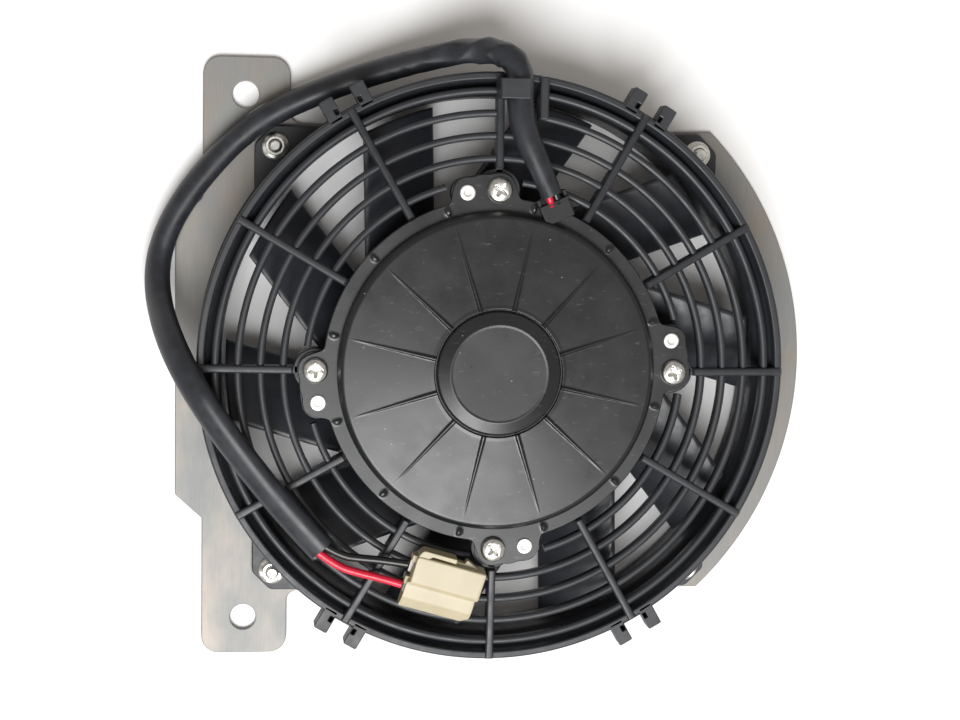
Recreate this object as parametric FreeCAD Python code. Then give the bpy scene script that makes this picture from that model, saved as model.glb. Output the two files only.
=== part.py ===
import FreeCAD, Part
import math
import os

# Oil cooler fan module: a flat sheet-metal plate that closes the back of the cooler core,
# a moulded shroud with its guard grille, a flat brushed motor and a ten-bladed impeller.
# Millimetres. The fan axis is Z and the plate's underside is z = 0. Angles in degrees.

# --- mounting plate ---------------------------------------------------------
PLATE_T = 2.0
PLATE_HALF_Y = 102.0
PLATE_ARC_R = 142.0
STRIP_X0 = -122.5
STRIP_X1 = -85.5
STRIP_HALF_Y = 129.5
STRIP_CORNER_R = 7.5
STRIP_FILLET_R = 4.5
BUMP_X = -134.0
BUMP_HALF_Y = 59.0
BUMP_CHAMFER_Y = 10.5
WEB_R = 120.5
THROAT_R = 115.5
HOLE_R = 5.6
HOLE_X = -104.5
HOLE_Y = 113.5

# --- clinch studs and flange nuts -------------------------------------------
STUD_XY = 92.0
STUD_HEAD_R = 3.9
STUD_R = 2.5
STUD_TOP = 12.0
NUT_AF = 8.0
NUT_FLANGE_R = 5.8
NUT_FLANGE_T = 1.1
NUT_H = 5.0
NUT_TURN = 15.0

# --- shroud -----------------------------------------------------------------
BASE_R = 124.6
BASE_TOP = 5.2
EAR_R = 7.0
EAR_ROOT = 20.5
EAR_SINK = 9.0
EAR_STEP = 2.0
TUNNEL_R = 114.2
TUNNEL_OUT_R = 117.4
FLARE_Z0 = 26.0
FLARE_Z1 = 34.5
SHELL_STEP = 1.0
RIM_R = 124.1
RIM_IN_R = 120.9
RIM_TOP = 38.0
RIM_SKIRT_Z = 32.5
RIM_EDGE = 0.6
RING_R = (116.3, 107.0, 97.7, 88.4, 79.1)
RING_W = 3.0
RING_H = 5.0
SPOKE_N = 12
SPOKE_W = 3.3
SPOKE_RIM_TOP = 38.8
DISH_SLOPE = 0.082
RING_DROP = 1.2
SPOKE_BOTTOM = 32.2
SPOKE_ROUND = 1.2
SPOKE_END_CUT = 0.8
HUB_R0 = 65.5
HUB_R1 = 71.8
HUB_TOP = 39.4
HUB_BOTTOM = 35.5
BOSS_R = 9.0
SCREW_END = 33.5
RIVET_POCKET_R = 3.4
HOOK_ANGLES = (60.0, 120.0, 240.0, 300.0)
HOOK_OFFSET = 7.2
HOOK_W = 6.2
HOOK_REACH = 7.8
HOOK_BOTTOM = 29.0
HOOK_SLOT_W = 2.0
HOOK_SLOT = (0.8, 3.2)

# --- cable clip on the spoke that stands at 90 degrees ----------------------
CLIP_Y0 = 112.6
CLIP_Y1 = 120.8
CLIP_X1 = 10.8
CLIP_BOTTOM = 50.2
CLIP_T = 2.0
POST_X0 = 16.2
POST_X1 = 20.0
POST_Y0 = 104.5
POST_TOP = 41.5
TROUGH_BACK = 12.0
OVER_ALL = 60.0

# --- motor ------------------------------------------------------------------
SCREW_R = 75.3
RIVET_SWING = 10.3
LUG_SCREW_R = 7.4
LUG_RIVET_R = 6.6
LUG_GAP = 0.6
SCREW_HOLE_R = 2.6
RIVET_R = 2.0
FLANGE_R = 72.2
SHEET_T = 1.5
CAN_R = 57.0
CAN_BOTTOM = 13.5
CAN_CORNER = 2.0
CAN_BORE_R = 8.0
CAN_FLANGE = 39.5
COVER_FLANGE = CAN_FLANGE + SHEET_T
COVER_TOP = COVER_FLANGE + SHEET_T
DOME_R = 66.4
DOME_TOP = 48.1
DOME_RISE = 2.4
DOME_EDGE = 1.9
CAP_R = 26.6
CAP_FLAT_R = 20.0
CAP_TOP = 53.3
RIB_N = 12
RIB_START = 17.5
RIB_R0 = 27.8
RIB_R1 = 58.5
RIB_W = 1.5
RIB_RISE = (0.7, 0.3)
SHAFT_R = 4.0
BEARING_R = 11.0
BEARING_W = 7.0
BEARING_BORE_R = 5.6
BEARING_RACE_T = 1.8
SEAT_WALL = 2.5
REAR_BEARING_Z = 44.7
FRONT_BEARING_Z = CAN_BOTTOM + SHEET_T + 0.1
BALL_R = 1.75
BALL_PITCH_R = 7.4
BALL_N = 7
MAGNET_N = 4
MAGNET_R0 = 49.6
MAGNET_GAP = 16.0
MAGNET_Z0 = CAN_BOTTOM + 4.0
CORE_R = 48.6
CORE_Z0 = 24.0
CORE_Z1 = 34.0
SLOT_N = 16
SLOT_W = 5.0
SLOT_MOUTH = 1.8
COIL_R0 = 24.0
COIL_R1 = 43.0
COIL_END = 3.4
COMM_R = 13.0
COMM_Z0 = 37.8
COMM_Z1 = 43.6
COMM_SLIT_W = 0.5
COMM_SLIT_DEPTH = 1.2
SHAFT_Z0 = 6.2
SHAFT_Z1 = 51.0
BRUSH_PLATE_Z = 38.4
BRUSH_N = 4
BRUSH_PLATE_R = 17.0
HOLDER_X0 = 16.5
HOLDER_X1 = 34.0
HOLDER_W = 8.0
HOLDER_H = 5.2
HOLDER_WALL = 1.0
BRUSH_W = 5.4
BRUSH_H = 3.4
BRUSH_X1 = 26.0
SPRING_R = 1.7
SPRING_BORE_R = 1.1
SPRING_L = 6.8

# --- impeller ---------------------------------------------------------------
BLADE_N = 10
TIP_R = 112.6
CUP_R = 62.0
CUP_WALL = 1.8
CUP_Z0 = 9.0
CUP_Z1 = 36.0
CUP_CORNER = 3.0
HUB_COLLAR_R = 9.0
HUB_COLLAR_H = 3.8
RETAINER_R = 7.5
RETAINER_Z0 = 6.4
BLADE_W = 35.8
BLADE_T = 2.0
BLADE_CAMBER = 2.2
BLADE_PITCH = 30.0
BLADE_Z = 19.2
BLADE_SWEEP = -16.3
BLADE_MID = (90.8, 12.6)
BLADE_STOCK = 110.0

# --- leads ------------------------------------------------------------------
SLEEVE_R = 5.25
WIRE_R = 1.7
FIT = 0.05
GROMMET_L = 11.5
GROMMET_HALF_W = 6.8
GROMMET_TOP = 47.2
SLEEVE_ROUTE = (
    (20.8, 73.4, 48.2), (14.9, 86.4, 48.1), (9.0, 98.8, 47.0), (7.2, 110.4, 44.8),
    (7.5, 120.2, 44.5), (5.6, 127.6, 43.2), (0.2, 131.8, 39.2), (-8.4, 132.9, 33.4),
    (-19.6, 131.8, 27.2), (-33.0, 128.6, 21.6), (-47.0, 124.6, 16.8), (-61.6, 119.8, 13.0),
    (-77.0, 113.6, 10.6), (-92.4, 106.6, 9.3), (-106.4, 96.6, 8.6), (-118.4, 84.0, 8.2),
    (-129.0, 70.6, 7.9), (-137.0, 56.6, 7.4), (-141.4, 41.6, 7.8), (-140.6, 26.6, 16.6),
    (-134.8, 10.8, 33.6), (-125.2, -6.6, 46.6), (-113.2, -24.2, 47.6), (-100.8, -41.0, 46.8),
    (-86.6, -58.4, 46.6), (-72.3, -74.1, 46.4),
)
RED_ROUTE = (
    (-73.7, -75.4, 45.7), (-65.6, -81.8, 44.6), (-56.6, -84.6, 44.6),
    (-47.6, -86.6, 45.6), (-38.6, -89.3, 46.1),
)
BLACK_ROUTE = (
    (-70.9, -72.8, 46.2), (-64.0, -77.2, 45.4), (-55.6, -78.4, 45.2),
    (-46.4, -79.0, 46.2), (-36.2, -80.6, 46.8),
)
PLUG_C = (-21.6, -90.6, 40.2)
PLUG_TURN = -16.0
PLUG_TILT = 4.7
PLUG_L = 31.0
PLUG_W = 24.0
PLUG_H = 11.6
PLUG_STEP = 1.6
PLUG_SIDE_Z = 5.4
PLUG_SLOPE_W = 4.6
PLUG_CUT = (2.8, 2.4)
LATCH_X = (1.2, 17.5)
LATCH_T = 2.0
LATCH_GAP = 0.8
LATCH_ROOT = 4.0
CAVITY_HALF_W = 3.6
CAVITY_Z = (1.6, 7.6)
TERMINAL_HALF_W = 3.1
TERMINAL_Z = (4.2, 5.0)
TERMINAL_END = 12.0

V = FreeCAD.Vector
Z_AXIS = V(0, 0, 1)
ORIGIN = V(0, 0, 0)


def polar(radius, angle, z=0.0):
    """The point at a radius and an angle about the fan axis."""
    turn = math.radians(angle)
    return V(radius * math.cos(turn), radius * math.sin(turn), z)


def tube(r_in, r_out, z0, z1, centre=ORIGIN):
    """A plain ring standing along Z."""
    base = V(centre.x, centre.y, z0)
    body = Part.makeCylinder(r_out, z1 - z0, base)
    if r_in <= 0:
        return body
    return body.cut(Part.makeCylinder(r_in, z1 - z0, base))


def turned(points):
    """The solid of revolution of a closed (r, z) outline."""
    outline = [V(r, 0, z) for r, z in points]
    face = Part.Face(Part.makePolygon(outline + outline[:1]))
    return face.revolve(ORIGIN, Z_AXIS, 360)


def block(x0, x1, y0, y1, z0, z1):
    return Part.makeBox(x1 - x0, y1 - y0, z1 - z0, V(x0, y0, z0))


def about_axis(shape, angle):
    """A copy of a shape turned about the fan axis."""
    copy = shape.copy()
    copy.rotate(ORIGIN, Z_AXIS, angle)
    return copy


def spread(shape, count, start=0.0):
    """The shape repeated evenly about the fan axis."""
    return [about_axis(shape, start + 360.0 * i / count) for i in range(count)]


def fused(shapes):
    body = shapes[0].multiFuse(shapes[1:])
    return body.removeSplitter()


def prism(points, z0, z1):
    """A flat polygon raised from z0 to z1."""
    outline = [V(x, y, z0) for x, y in points]
    face = Part.Face(Part.makePolygon(outline + outline[:1]))
    return face.extrude(V(0, 0, z1 - z0))


def save(name, shape):
    shape.exportStep("parts/" + name + ".step")
    bodies = len(shape.Solids)
    print(f"{name:22s} solids {bodies:3d}  valid {shape.isValid()}  volume {shape.Volume:10.1f}")


# --- plate and its hardware -------------------------------------------------
def plate_outline():
    """The plate's edge: a block with a round right side and a tall strip on its left."""
    corner_x = math.sqrt(PLATE_ARC_R ** 2 - PLATE_HALF_Y ** 2)
    body_x = STRIP_X1 + STRIP_FILLET_R
    diagonal = math.sqrt(0.5)
    edges = [
        Part.Arc(V(corner_x, -PLATE_HALF_Y, 0), V(PLATE_ARC_R, 0, 0), V(corner_x, PLATE_HALF_Y, 0)),
    ]
    run = [V(corner_x, PLATE_HALF_Y, 0), V(body_x, PLATE_HALF_Y, 0)]
    fillet_mid = V(body_x - STRIP_FILLET_R * diagonal,
                   PLATE_HALF_Y + STRIP_FILLET_R * (1 - diagonal), 0)
    edges.append(Part.LineSegment(run[0], run[1]))
    edges.append(Part.Arc(run[1], fillet_mid, V(STRIP_X1, PLATE_HALF_Y + STRIP_FILLET_R, 0)))
    right = V(STRIP_X1, STRIP_HALF_Y - STRIP_CORNER_R, 0)
    edges.append(Part.LineSegment(V(STRIP_X1, PLATE_HALF_Y + STRIP_FILLET_R, 0), right))
    inset = STRIP_CORNER_R * (1 - diagonal)
    top_right = V(STRIP_X1 - STRIP_CORNER_R, STRIP_HALF_Y, 0)
    top_left = V(STRIP_X0 + STRIP_CORNER_R, STRIP_HALF_Y, 0)
    left = V(STRIP_X0, STRIP_HALF_Y - STRIP_CORNER_R, 0)
    edges.append(Part.Arc(right, V(STRIP_X1 - inset, STRIP_HALF_Y - inset, 0), top_right))
    edges.append(Part.LineSegment(top_right, top_left))
    edges.append(Part.Arc(top_left, V(STRIP_X0 + inset, STRIP_HALF_Y - inset, 0), left))
    bump = [left, V(STRIP_X0, BUMP_HALF_Y + BUMP_CHAMFER_Y, 0), V(BUMP_X, BUMP_HALF_Y, 0),
            V(BUMP_X, 0, 0)]
    for a, b in zip(bump, bump[1:]):
        edges.append(Part.LineSegment(a, b))
    upper = [edge.toShape() for edge in edges[1:]]
    mirrored = [edge.mirror(ORIGIN, V(0, 1, 0)) for edge in upper]
    return Part.Wire(Part.__sortEdges__([edges[0].toShape()] + upper + mirrored))


def mounting_plate():
    sheet = Part.Face(plate_outline()).extrude(V(0, 0, PLATE_T))
    web = Part.makeCylinder(WEB_R, PLATE_T)
    cuts = [Part.makeCylinder(THROAT_R, PLATE_T)]
    for side in (1, -1):
        cuts.append(Part.makeCylinder(HOLE_R, PLATE_T, V(HOLE_X, side * HOLE_Y, 0)))
    for x, y in stud_places():
        cuts.append(Part.makeCylinder(STUD_HEAD_R + FIT, PLATE_T, V(x, y, 0)))
    return fused([sheet, web]).cut(Part.makeCompound(cuts))


def stud_places():
    return [(sx * STUD_XY, sy * STUD_XY) for sx in (1, -1) for sy in (1, -1)]


def plate_studs():
    """Studs pressed flush into the plate, so that its underside stays flat."""
    solids = []
    for x, y in stud_places():
        head = Part.makeCylinder(STUD_HEAD_R, PLATE_T, V(x, y, 0))
        shank = Part.makeCylinder(STUD_R, STUD_TOP - PLATE_T, V(x, y, PLATE_T))
        solids.append(fused([head, shank]))
    return Part.makeCompound(solids)


def hexagon(x, y, across_flats, z0, z1):
    corner_r = across_flats / math.sqrt(3)
    points = []
    for i in range(6):
        p = polar(corner_r, 60 * i + NUT_TURN)
        points.append((x + p.x, y + p.y))
    return prism(points, z0, z1)


def flange_nuts():
    solids = []
    for x, y in stud_places():
        flange = tube(0, NUT_FLANGE_R, BASE_TOP, BASE_TOP + NUT_FLANGE_T, V(x, y, 0))
        body = hexagon(x, y, NUT_AF, BASE_TOP, BASE_TOP + NUT_H)
        bore = Part.makeCylinder(STUD_R + FIT, NUT_H, V(x, y, BASE_TOP))
        solids.append(fused([flange, body]).cut(bore))
    return Part.makeCompound(solids)


# --- shroud -----------------------------------------------------------------
def spoke_top(r):
    """Height of the spokes' top edge, which rises towards the hub."""
    return SPOKE_RIM_TOP + (RIM_R - r) * DISH_SLOPE


def tunnel():
    """The blade tunnel: a base flange, a wall and a flared rim."""
    return turned([
        (TUNNEL_R, PLATE_T), (BASE_R, PLATE_T), (BASE_R, BASE_TOP), (TUNNEL_OUT_R, BASE_TOP),
        (TUNNEL_OUT_R, FLARE_Z0 + SHELL_STEP), (RIM_R, RIM_SKIRT_Z), (RIM_R, RIM_TOP - SHELL_STEP),
        (RIM_R - SHELL_STEP, RIM_TOP), (RIM_IN_R + RIM_EDGE, RIM_TOP), (RIM_IN_R, RIM_TOP - RIM_EDGE),
        (RIM_IN_R - RIM_EDGE, FLARE_Z1), (TUNNEL_R, FLARE_Z0),
    ])


def guard_ring(radius):
    """One grille ring with a rounded top."""
    top = spoke_top(radius) - RING_DROP
    half = RING_W / 2
    shoulder = top - half * 0.8
    lower = top - RING_H
    outline = Part.Wire([
        Part.LineSegment(V(radius - half, 0, shoulder), V(radius - half, 0, lower)).toShape(),
        Part.LineSegment(V(radius - half, 0, lower), V(radius + half, 0, lower)).toShape(),
        Part.LineSegment(V(radius + half, 0, lower), V(radius + half, 0, shoulder)).toShape(),
        Part.Arc(V(radius + half, 0, shoulder), V(radius, 0, top),
                 V(radius - half, 0, shoulder)).toShape(),
    ])
    return Part.Face(outline).revolve(ORIGIN, Z_AXIS, 360)


def spoke(inner_r):
    """One straight spoke from the hub ring to the rim's outer edge, chamfered on top."""
    outline = [
        (HUB_R0, HUB_BOTTOM), (HUB_R0, HUB_TOP), (inner_r, HUB_TOP), (inner_r, spoke_top(inner_r)),
        (RIM_R - SPOKE_END_CUT, spoke_top(RIM_R)), (RIM_R, spoke_top(RIM_R) - SPOKE_END_CUT),
        (RIM_R, SPOKE_BOTTOM),
        (HUB_R1 + 4.0, SPOKE_BOTTOM + 0.6), (HUB_R1, HUB_BOTTOM),
    ]
    points = [V(r, -SPOKE_W / 2, z) for r, z in outline]
    bar = Part.Face(Part.makePolygon(points + points[:1])).extrude(V(0, SPOKE_W, 0))
    tops = []
    for edge in bar.Edges:
        a, b = edge.Vertexes[0].Point, edge.Vertexes[-1].Point
        along = abs(a.y - b.y) < 0.01 and min(a.z, b.z) > spoke_top(RIM_R) - 0.1
        if along and min(a.x, b.x) > inner_r - 0.1 and abs(a.x - b.x) > 5:
            tops.append(edge)
    return bar.makeFillet(SPOKE_ROUND, tops)


def snap_hook(side):
    """One mounting hook outside the rim, with its slot, beside the spoke at zero degrees."""
    y0 = side * HOOK_OFFSET - HOOK_W / 2
    arm = block(RIM_R - 3.0, RIM_R + HOOK_REACH, y0, y0 + HOOK_W, HOOK_BOTTOM, RIM_TOP)
    slot_y = side * (HOOK_OFFSET - HOOK_W / 2 + 0.9)
    slot = block(RIM_R + HOOK_SLOT[0], RIM_R + HOOK_SLOT[1], slot_y - HOOK_SLOT_W / 2,
                 slot_y + HOOK_SLOT_W / 2, HOOK_BOTTOM - 1, RIM_TOP + 1)
    edges = []
    for edge in arm.Edges:
        middle = edge.CenterOfMass
        upright = abs(edge.Length - (RIM_TOP - HOOK_BOTTOM)) < 0.01
        if abs(middle.x - RIM_R - HOOK_REACH) < 0.01 and upright:
            edges.append(edge)
    return arm.makeFillet(1.0, edges).cut(slot)


def ear(x, y):
    """A flat triangular ear that carries one nut."""
    turn = math.degrees(math.atan2(y, x))
    reach = math.hypot(x, y)
    x0, x1 = BASE_R - EAR_SINK, BASE_R - EAR_STEP
    tip_x = reach + EAR_R * 0.75
    tip_y = EAR_R - 1.5
    plan = [(x0, -EAR_ROOT), (x1, -EAR_ROOT), (tip_x, -tip_y), (tip_x, tip_y), (x1, EAR_ROOT),
            (x0, EAR_ROOT)]
    body = prism(plan, PLATE_T, BASE_TOP)
    pad = Part.makeCylinder(EAR_R, BASE_TOP - PLATE_T, V(reach, 0, PLATE_T))
    keep = block(0, reach + EAR_R, -EAR_ROOT, EAR_ROOT, PLATE_T, BASE_TOP)
    return about_axis(fused([body, pad]).common(keep), turn)


def clip_arm():
    """The cable clip: a wall on the spoke and an arm that reaches over the sleeve."""
    half = SPOKE_W / 2
    wall = block(-half, half, CLIP_Y0, CLIP_Y1, RIM_TOP - 3.0, CLIP_BOTTOM + CLIP_T)
    arm = block(-half, CLIP_X1, CLIP_Y0, CLIP_Y1, CLIP_BOTTOM, CLIP_BOTTOM + CLIP_T)
    return fused([wall, arm])


def lug_plan(z0, z1, grow=0.0):
    """The lug at zero degrees: round about the screw and the rivet, joined to the flange."""
    screw = polar(SCREW_R, 0)
    rivet = polar(SCREW_R, RIVET_SWING)
    pads = [
        Part.makeCylinder(LUG_SCREW_R + grow, z1 - z0, V(screw.x, screw.y, z0)),
        Part.makeCylinder(LUG_RIVET_R + grow, z1 - z0, V(rivet.x, rivet.y, z0)),
    ]
    outer = [polar(SCREW_R + LUG_SCREW_R + grow, 0), polar(SCREW_R + LUG_RIVET_R + grow, RIVET_SWING)]
    swing = math.degrees((LUG_SCREW_R + grow + 1.0) / SCREW_R)
    inner = [polar(FLANGE_R - 8.0, RIVET_SWING + swing), polar(FLANGE_R - 8.0, -swing)]
    foot = [polar(FLANGE_R, RIVET_SWING + swing), polar(FLANGE_R, -swing)]
    plan = [outer[0], outer[1], foot[0], inner[0], inner[1], foot[1]]
    pads.append(prism([(p.x, p.y) for p in plan], z0, z1))
    return fused(pads)


def shroud():
    parts = [tunnel(), tube(HUB_R0, HUB_R1, HUB_BOTTOM, HUB_TOP)]
    parts += [guard_ring(r) for r in RING_R]
    quarter = SPOKE_N // 4
    for i in range(SPOKE_N):
        inner = HUB_R1 + 1.0 if i % quarter else SCREW_R + BOSS_R + 0.2
        parts.append(about_axis(spoke(inner), 360.0 * i / SPOKE_N))
    boss = tube(0, BOSS_R, SPOKE_BOTTOM, HUB_TOP, polar(SCREW_R, 0))
    pad = tube(0, LUG_RIVET_R, SPOKE_BOTTOM + 2.0, HUB_TOP, polar(SCREW_R, RIVET_SWING))
    parts += spread(fused([boss, pad]), 4)
    for angle in HOOK_ANGLES:
        parts += [about_axis(snap_hook(side), angle) for side in (1, -1)]
    parts += [ear(x, y) for x, y in stud_places()]
    body = fused(parts)
    trough = block(SPOKE_W / 2, POST_X0, CLIP_Y0 - TROUGH_BACK, RIM_IN_R - 1.6, RIM_TOP - 5.0,
                   OVER_ALL)
    cuts = [trough]
    cuts += spread(lug_plan(HUB_TOP, OVER_ALL, LUG_GAP), 4)
    cuts += spread(tube(0, STUD_R + FIT, 0, HUB_TOP, polar(SCREW_R, 0)), 4)
    cuts += spread(tube(0, RIVET_POCKET_R, 0, HUB_TOP, polar(SCREW_R, RIVET_SWING)), 4)
    for x, y in stud_places():
        cuts.append(Part.makeCylinder(STUD_R + FIT, BASE_TOP, V(x, y, 0)))
    body = body.cut(Part.makeCompound(cuts))
    post = block(POST_X0, POST_X1, POST_Y0, RIM_IN_R, RIM_TOP - 6.0, POST_TOP)
    return fused([body, clip_arm(), post])


# --- motor housing ----------------------------------------------------------
def motor_can():
    """The pressed can, with the flange and lugs that are screwed to the shroud."""
    shell = turned([
        (CAN_BORE_R, CAN_BOTTOM), (CAN_R - CAN_CORNER, CAN_BOTTOM), (CAN_R, CAN_BOTTOM + CAN_CORNER),
        (CAN_R, CAN_FLANGE), (FLANGE_R, CAN_FLANGE), (FLANGE_R, COVER_FLANGE),
        (CAN_R - SHEET_T, COVER_FLANGE), (CAN_R - SHEET_T, CAN_BOTTOM + CAN_CORNER + 0.6),
        (CAN_R - CAN_CORNER - 0.6, CAN_BOTTOM + SHEET_T), (CAN_BORE_R, CAN_BOTTOM + SHEET_T),
    ])
    floor_z = CAN_BOTTOM + SHEET_T
    seat = tube(BEARING_R + FIT, BEARING_R + SEAT_WALL, floor_z, floor_z + 6.5)
    body = fused([shell, seat] + lugs(CAN_FLANGE, COVER_FLANGE))
    return body.cut(Part.makeCompound(lug_holes()))


def lugs(z0, z1):
    ring = tube(0, FLANGE_R - 3.0, z0, z1)
    return spread(lug_plan(z0, z1).cut(ring), 4)


def lug_holes():
    """Clearance holes for the four screws and seats for the four rivets."""
    screw = tube(0, SCREW_HOLE_R, CAN_FLANGE - 1, COVER_TOP + 1, polar(SCREW_R, 0))
    rivet = tube(0, RIVET_R, CAN_FLANGE - 1, COVER_TOP + 1, polar(SCREW_R, RIVET_SWING))
    return spread(screw, 4) + spread(rivet, 4)


def dome_height(r):
    """Height of the cover's shallow cone between its outer edge and the cap."""
    outer, inner = DOME_R - DOME_EDGE, CAP_R + 0.8
    return DOME_TOP + DOME_RISE * (outer - r) / (outer - inner)


def cover_rib():
    """One low stiffening rib that runs out from the cap and fades into the dome."""
    outline = [(RIB_R0, DOME_TOP), (RIB_R0, dome_height(RIB_R0) + RIB_RISE[0]),
               (RIB_R1, dome_height(RIB_R1) + RIB_RISE[1]), (RIB_R1, DOME_TOP - 0.6)]
    points = [V(r, -RIB_W / 2, z) for r, z in outline]
    return Part.Face(Part.makePolygon(points + points[:1])).extrude(V(0, RIB_W, 0))


def motor_cover():
    """The pressed cover: flange, dome, ribs and the raised cap over the rear bearing."""
    skin = turned([
        (FLANGE_R, COVER_FLANGE), (FLANGE_R, COVER_TOP), (DOME_R + 1.0, COVER_TOP),
        (DOME_R, COVER_TOP + 1.0), (DOME_R - 0.4, DOME_TOP - 1.6), (DOME_R - DOME_EDGE, DOME_TOP),
        (CAP_R + 0.8, DOME_TOP + DOME_RISE), (CAP_R, DOME_TOP + DOME_RISE + 0.4),
        (CAP_R - 0.5, CAP_TOP - 1.4),
        (CAP_R - 2.0, CAP_TOP - 0.5), (CAP_FLAT_R, CAP_TOP), (0, CAP_TOP),
        (0, CAP_TOP - SHEET_T), (CAP_FLAT_R - 0.5, CAP_TOP - SHEET_T),
        (CAP_R - 2.4, CAP_TOP - 2.4), (CAP_R - 1.7, DOME_TOP + 0.9),
        (DOME_R - 2.6, DOME_TOP - 1.5), (DOME_R - 1.5, DOME_TOP - 2.8),
        (DOME_R - 1.5, COVER_FLANGE),
    ])
    seat_top = CAP_TOP - SHEET_T
    seat = tube(BEARING_R + FIT, BEARING_R + SEAT_WALL, seat_top - 6.0, seat_top + 0.5)
    body = fused([skin, seat] + spread(cover_rib(), RIB_N, RIB_START) + lugs(COVER_FLANGE, COVER_TOP))
    return body.cut(Part.makeCompound(lug_holes() + [lead_grommet(FIT)]))


def sleeve_heading():
    """The level direction in which the sleeve leaves the motor."""
    start, second = V(*SLEEVE_ROUTE[0]), V(*SLEEVE_ROUTE[1])
    way = second - start
    return math.degrees(math.atan2(way.y, way.x))


def lead_grommet(grow=0.0):
    """The rubber block in the slot of the cover that the leads come out of."""
    half = GROMMET_HALF_W + grow
    body = block(-GROMMET_L - grow, 0.0, -half, half, COVER_TOP + FIT - grow, GROMMET_TOP + grow)
    body.rotate(ORIGIN, Z_AXIS, sleeve_heading())
    start = SLEEVE_ROUTE[0]
    body.translate(V(start[0], start[1], 0))
    return body


def motor_screws():
    """Cross-recessed pan-head screws through the lugs into the shroud's bosses."""
    solids = []
    head = turned([
        (0, COVER_TOP), (5.3, COVER_TOP), (5.3, COVER_TOP + 1.2), (4.6, COVER_TOP + 2.5),
        (3.2, COVER_TOP + 3.2), (0, COVER_TOP + 3.4),
    ])
    shank = Part.makeCylinder(STUD_R, COVER_TOP - SCREW_END, V(0, 0, SCREW_END))
    cross = fused([block(-2.6, 2.6, -0.55, 0.55, COVER_TOP + 1.5, COVER_TOP + 4),
                   block(-0.55, 0.55, -2.6, 2.6, COVER_TOP + 1.5, COVER_TOP + 4)])
    screw = fused([head, shank]).cut(cross)
    for i in range(4):
        copy = screw.copy()
        copy.rotate(ORIGIN, Z_AXIS, 20.0 + 37.0 * i)
        copy.translate(polar(SCREW_R, 90.0 * i))
        solids.append(copy)
    return Part.makeCompound(solids)


def cover_rivets():
    """Flat rivets that hold the cover to the can."""
    centre = polar(SCREW_R, RIVET_SWING)
    rivet = fused([
        tube(0, 3.3, COVER_TOP, COVER_TOP + 0.9, centre),
        tube(0, RIVET_R - FIT, CAN_FLANGE, COVER_TOP, centre),
        tube(0, 3.0, CAN_FLANGE - 1.0, CAN_FLANGE, centre),
    ])
    return Part.makeCompound(spread(rivet, 4))


# --- motor internals --------------------------------------------------------
def magnets():
    """Four ferrite arcs against the can's wall."""
    ring = tube(MAGNET_R0, CAN_R - SHEET_T - FIT, MAGNET_Z0, BRUSH_PLATE_Z - 0.2)
    gap = block(0, CAN_R, -MAGNET_GAP / 2, MAGNET_GAP / 2, 0, CAP_TOP)
    body = ring.cut(Part.makeCompound(spread(gap, MAGNET_N)))
    return Part.makeCompound(body.Solids)


def armature_slots(clearance):
    width = SLOT_W - 2 * clearance
    slot = block(COIL_R0 + clearance, COIL_R1 - clearance, -width / 2, width / 2, CORE_Z0, CORE_Z1)
    return spread(slot, SLOT_N)


def armature_core():
    """The lamination stack, pressed on the shaft, with its slots and their narrow mouths."""
    stack = tube(SHAFT_R, CORE_R, CORE_Z0, CORE_Z1)
    mouth = block(COIL_R1 - 1.0, CORE_R + 1.0, -SLOT_MOUTH / 2, SLOT_MOUTH / 2, CORE_Z0, CORE_Z1)
    return stack.cut(Part.makeCompound(armature_slots(0.0) + spread(mouth, SLOT_N)))


def armature_winding():
    """The coils: bars through the slots and a rounded bundle at each end."""
    upper = tube(COIL_R0, COIL_R1, CORE_Z1, CORE_Z1 + COIL_END)
    lower = tube(COIL_R0, COIL_R1, CORE_Z0 - COIL_END, CORE_Z0)
    return fused([upper, lower] + armature_slots(FIT))


def commutator():
    """The copper segments on their core, with a slit between each two."""
    body = tube(SHAFT_R, COMM_R, COMM_Z0, COMM_Z1)
    half = COMM_SLIT_W / 2
    slit = block(COMM_R - COMM_SLIT_DEPTH, COMM_R + 1.0, -half, half, COMM_Z0 - 1, COMM_Z1 + 1)
    return body.cut(Part.makeCompound(spread(slit, SLOT_N)))


def motor_shaft():
    return tube(0, SHAFT_R, SHAFT_Z0, SHAFT_Z1)


def bearing_places():
    return (FRONT_BEARING_Z, REAR_BEARING_Z)


def bearing_inner_rings():
    rings = [tube(SHAFT_R, BEARING_BORE_R, z, z + BEARING_W) for z in bearing_places()]
    return Part.makeCompound(rings)


def bearing_outer_rings():
    bore = BEARING_R - BEARING_RACE_T
    rings = [tube(bore, BEARING_R, z, z + BEARING_W) for z in bearing_places()]
    return Part.makeCompound(rings)


def bearing_balls():
    solids = []
    for z in bearing_places():
        ball = Part.makeSphere(BALL_R, V(BALL_PITCH_R, 0, z + BEARING_W / 2))
        solids += spread(ball, BALL_N)
    return Part.makeCompound(solids)


def brush_plate():
    """The insulating plate over the magnets that carries the brush gear."""
    return tube(BRUSH_PLATE_R, CAN_R - SHEET_T - FIT, BRUSH_PLATE_Z, BRUSH_PLATE_Z + SHEET_T)


def brush_gear(shape):
    return Part.makeCompound(spread(shape, BRUSH_N, 45.0))


def brush_holders():
    floor_z = BRUSH_PLATE_Z + SHEET_T
    half = HOLDER_W / 2
    outer = block(HOLDER_X0, HOLDER_X1, -half, half, floor_z, floor_z + HOLDER_H)
    room = BRUSH_W / 2 + 0.2
    inner = block(HOLDER_X0 - 1, HOLDER_X1 - HOLDER_WALL, -room, room, floor_z - 1,
                  floor_z + HOLDER_H - HOLDER_WALL)
    return brush_gear(outer.cut(inner))


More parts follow.
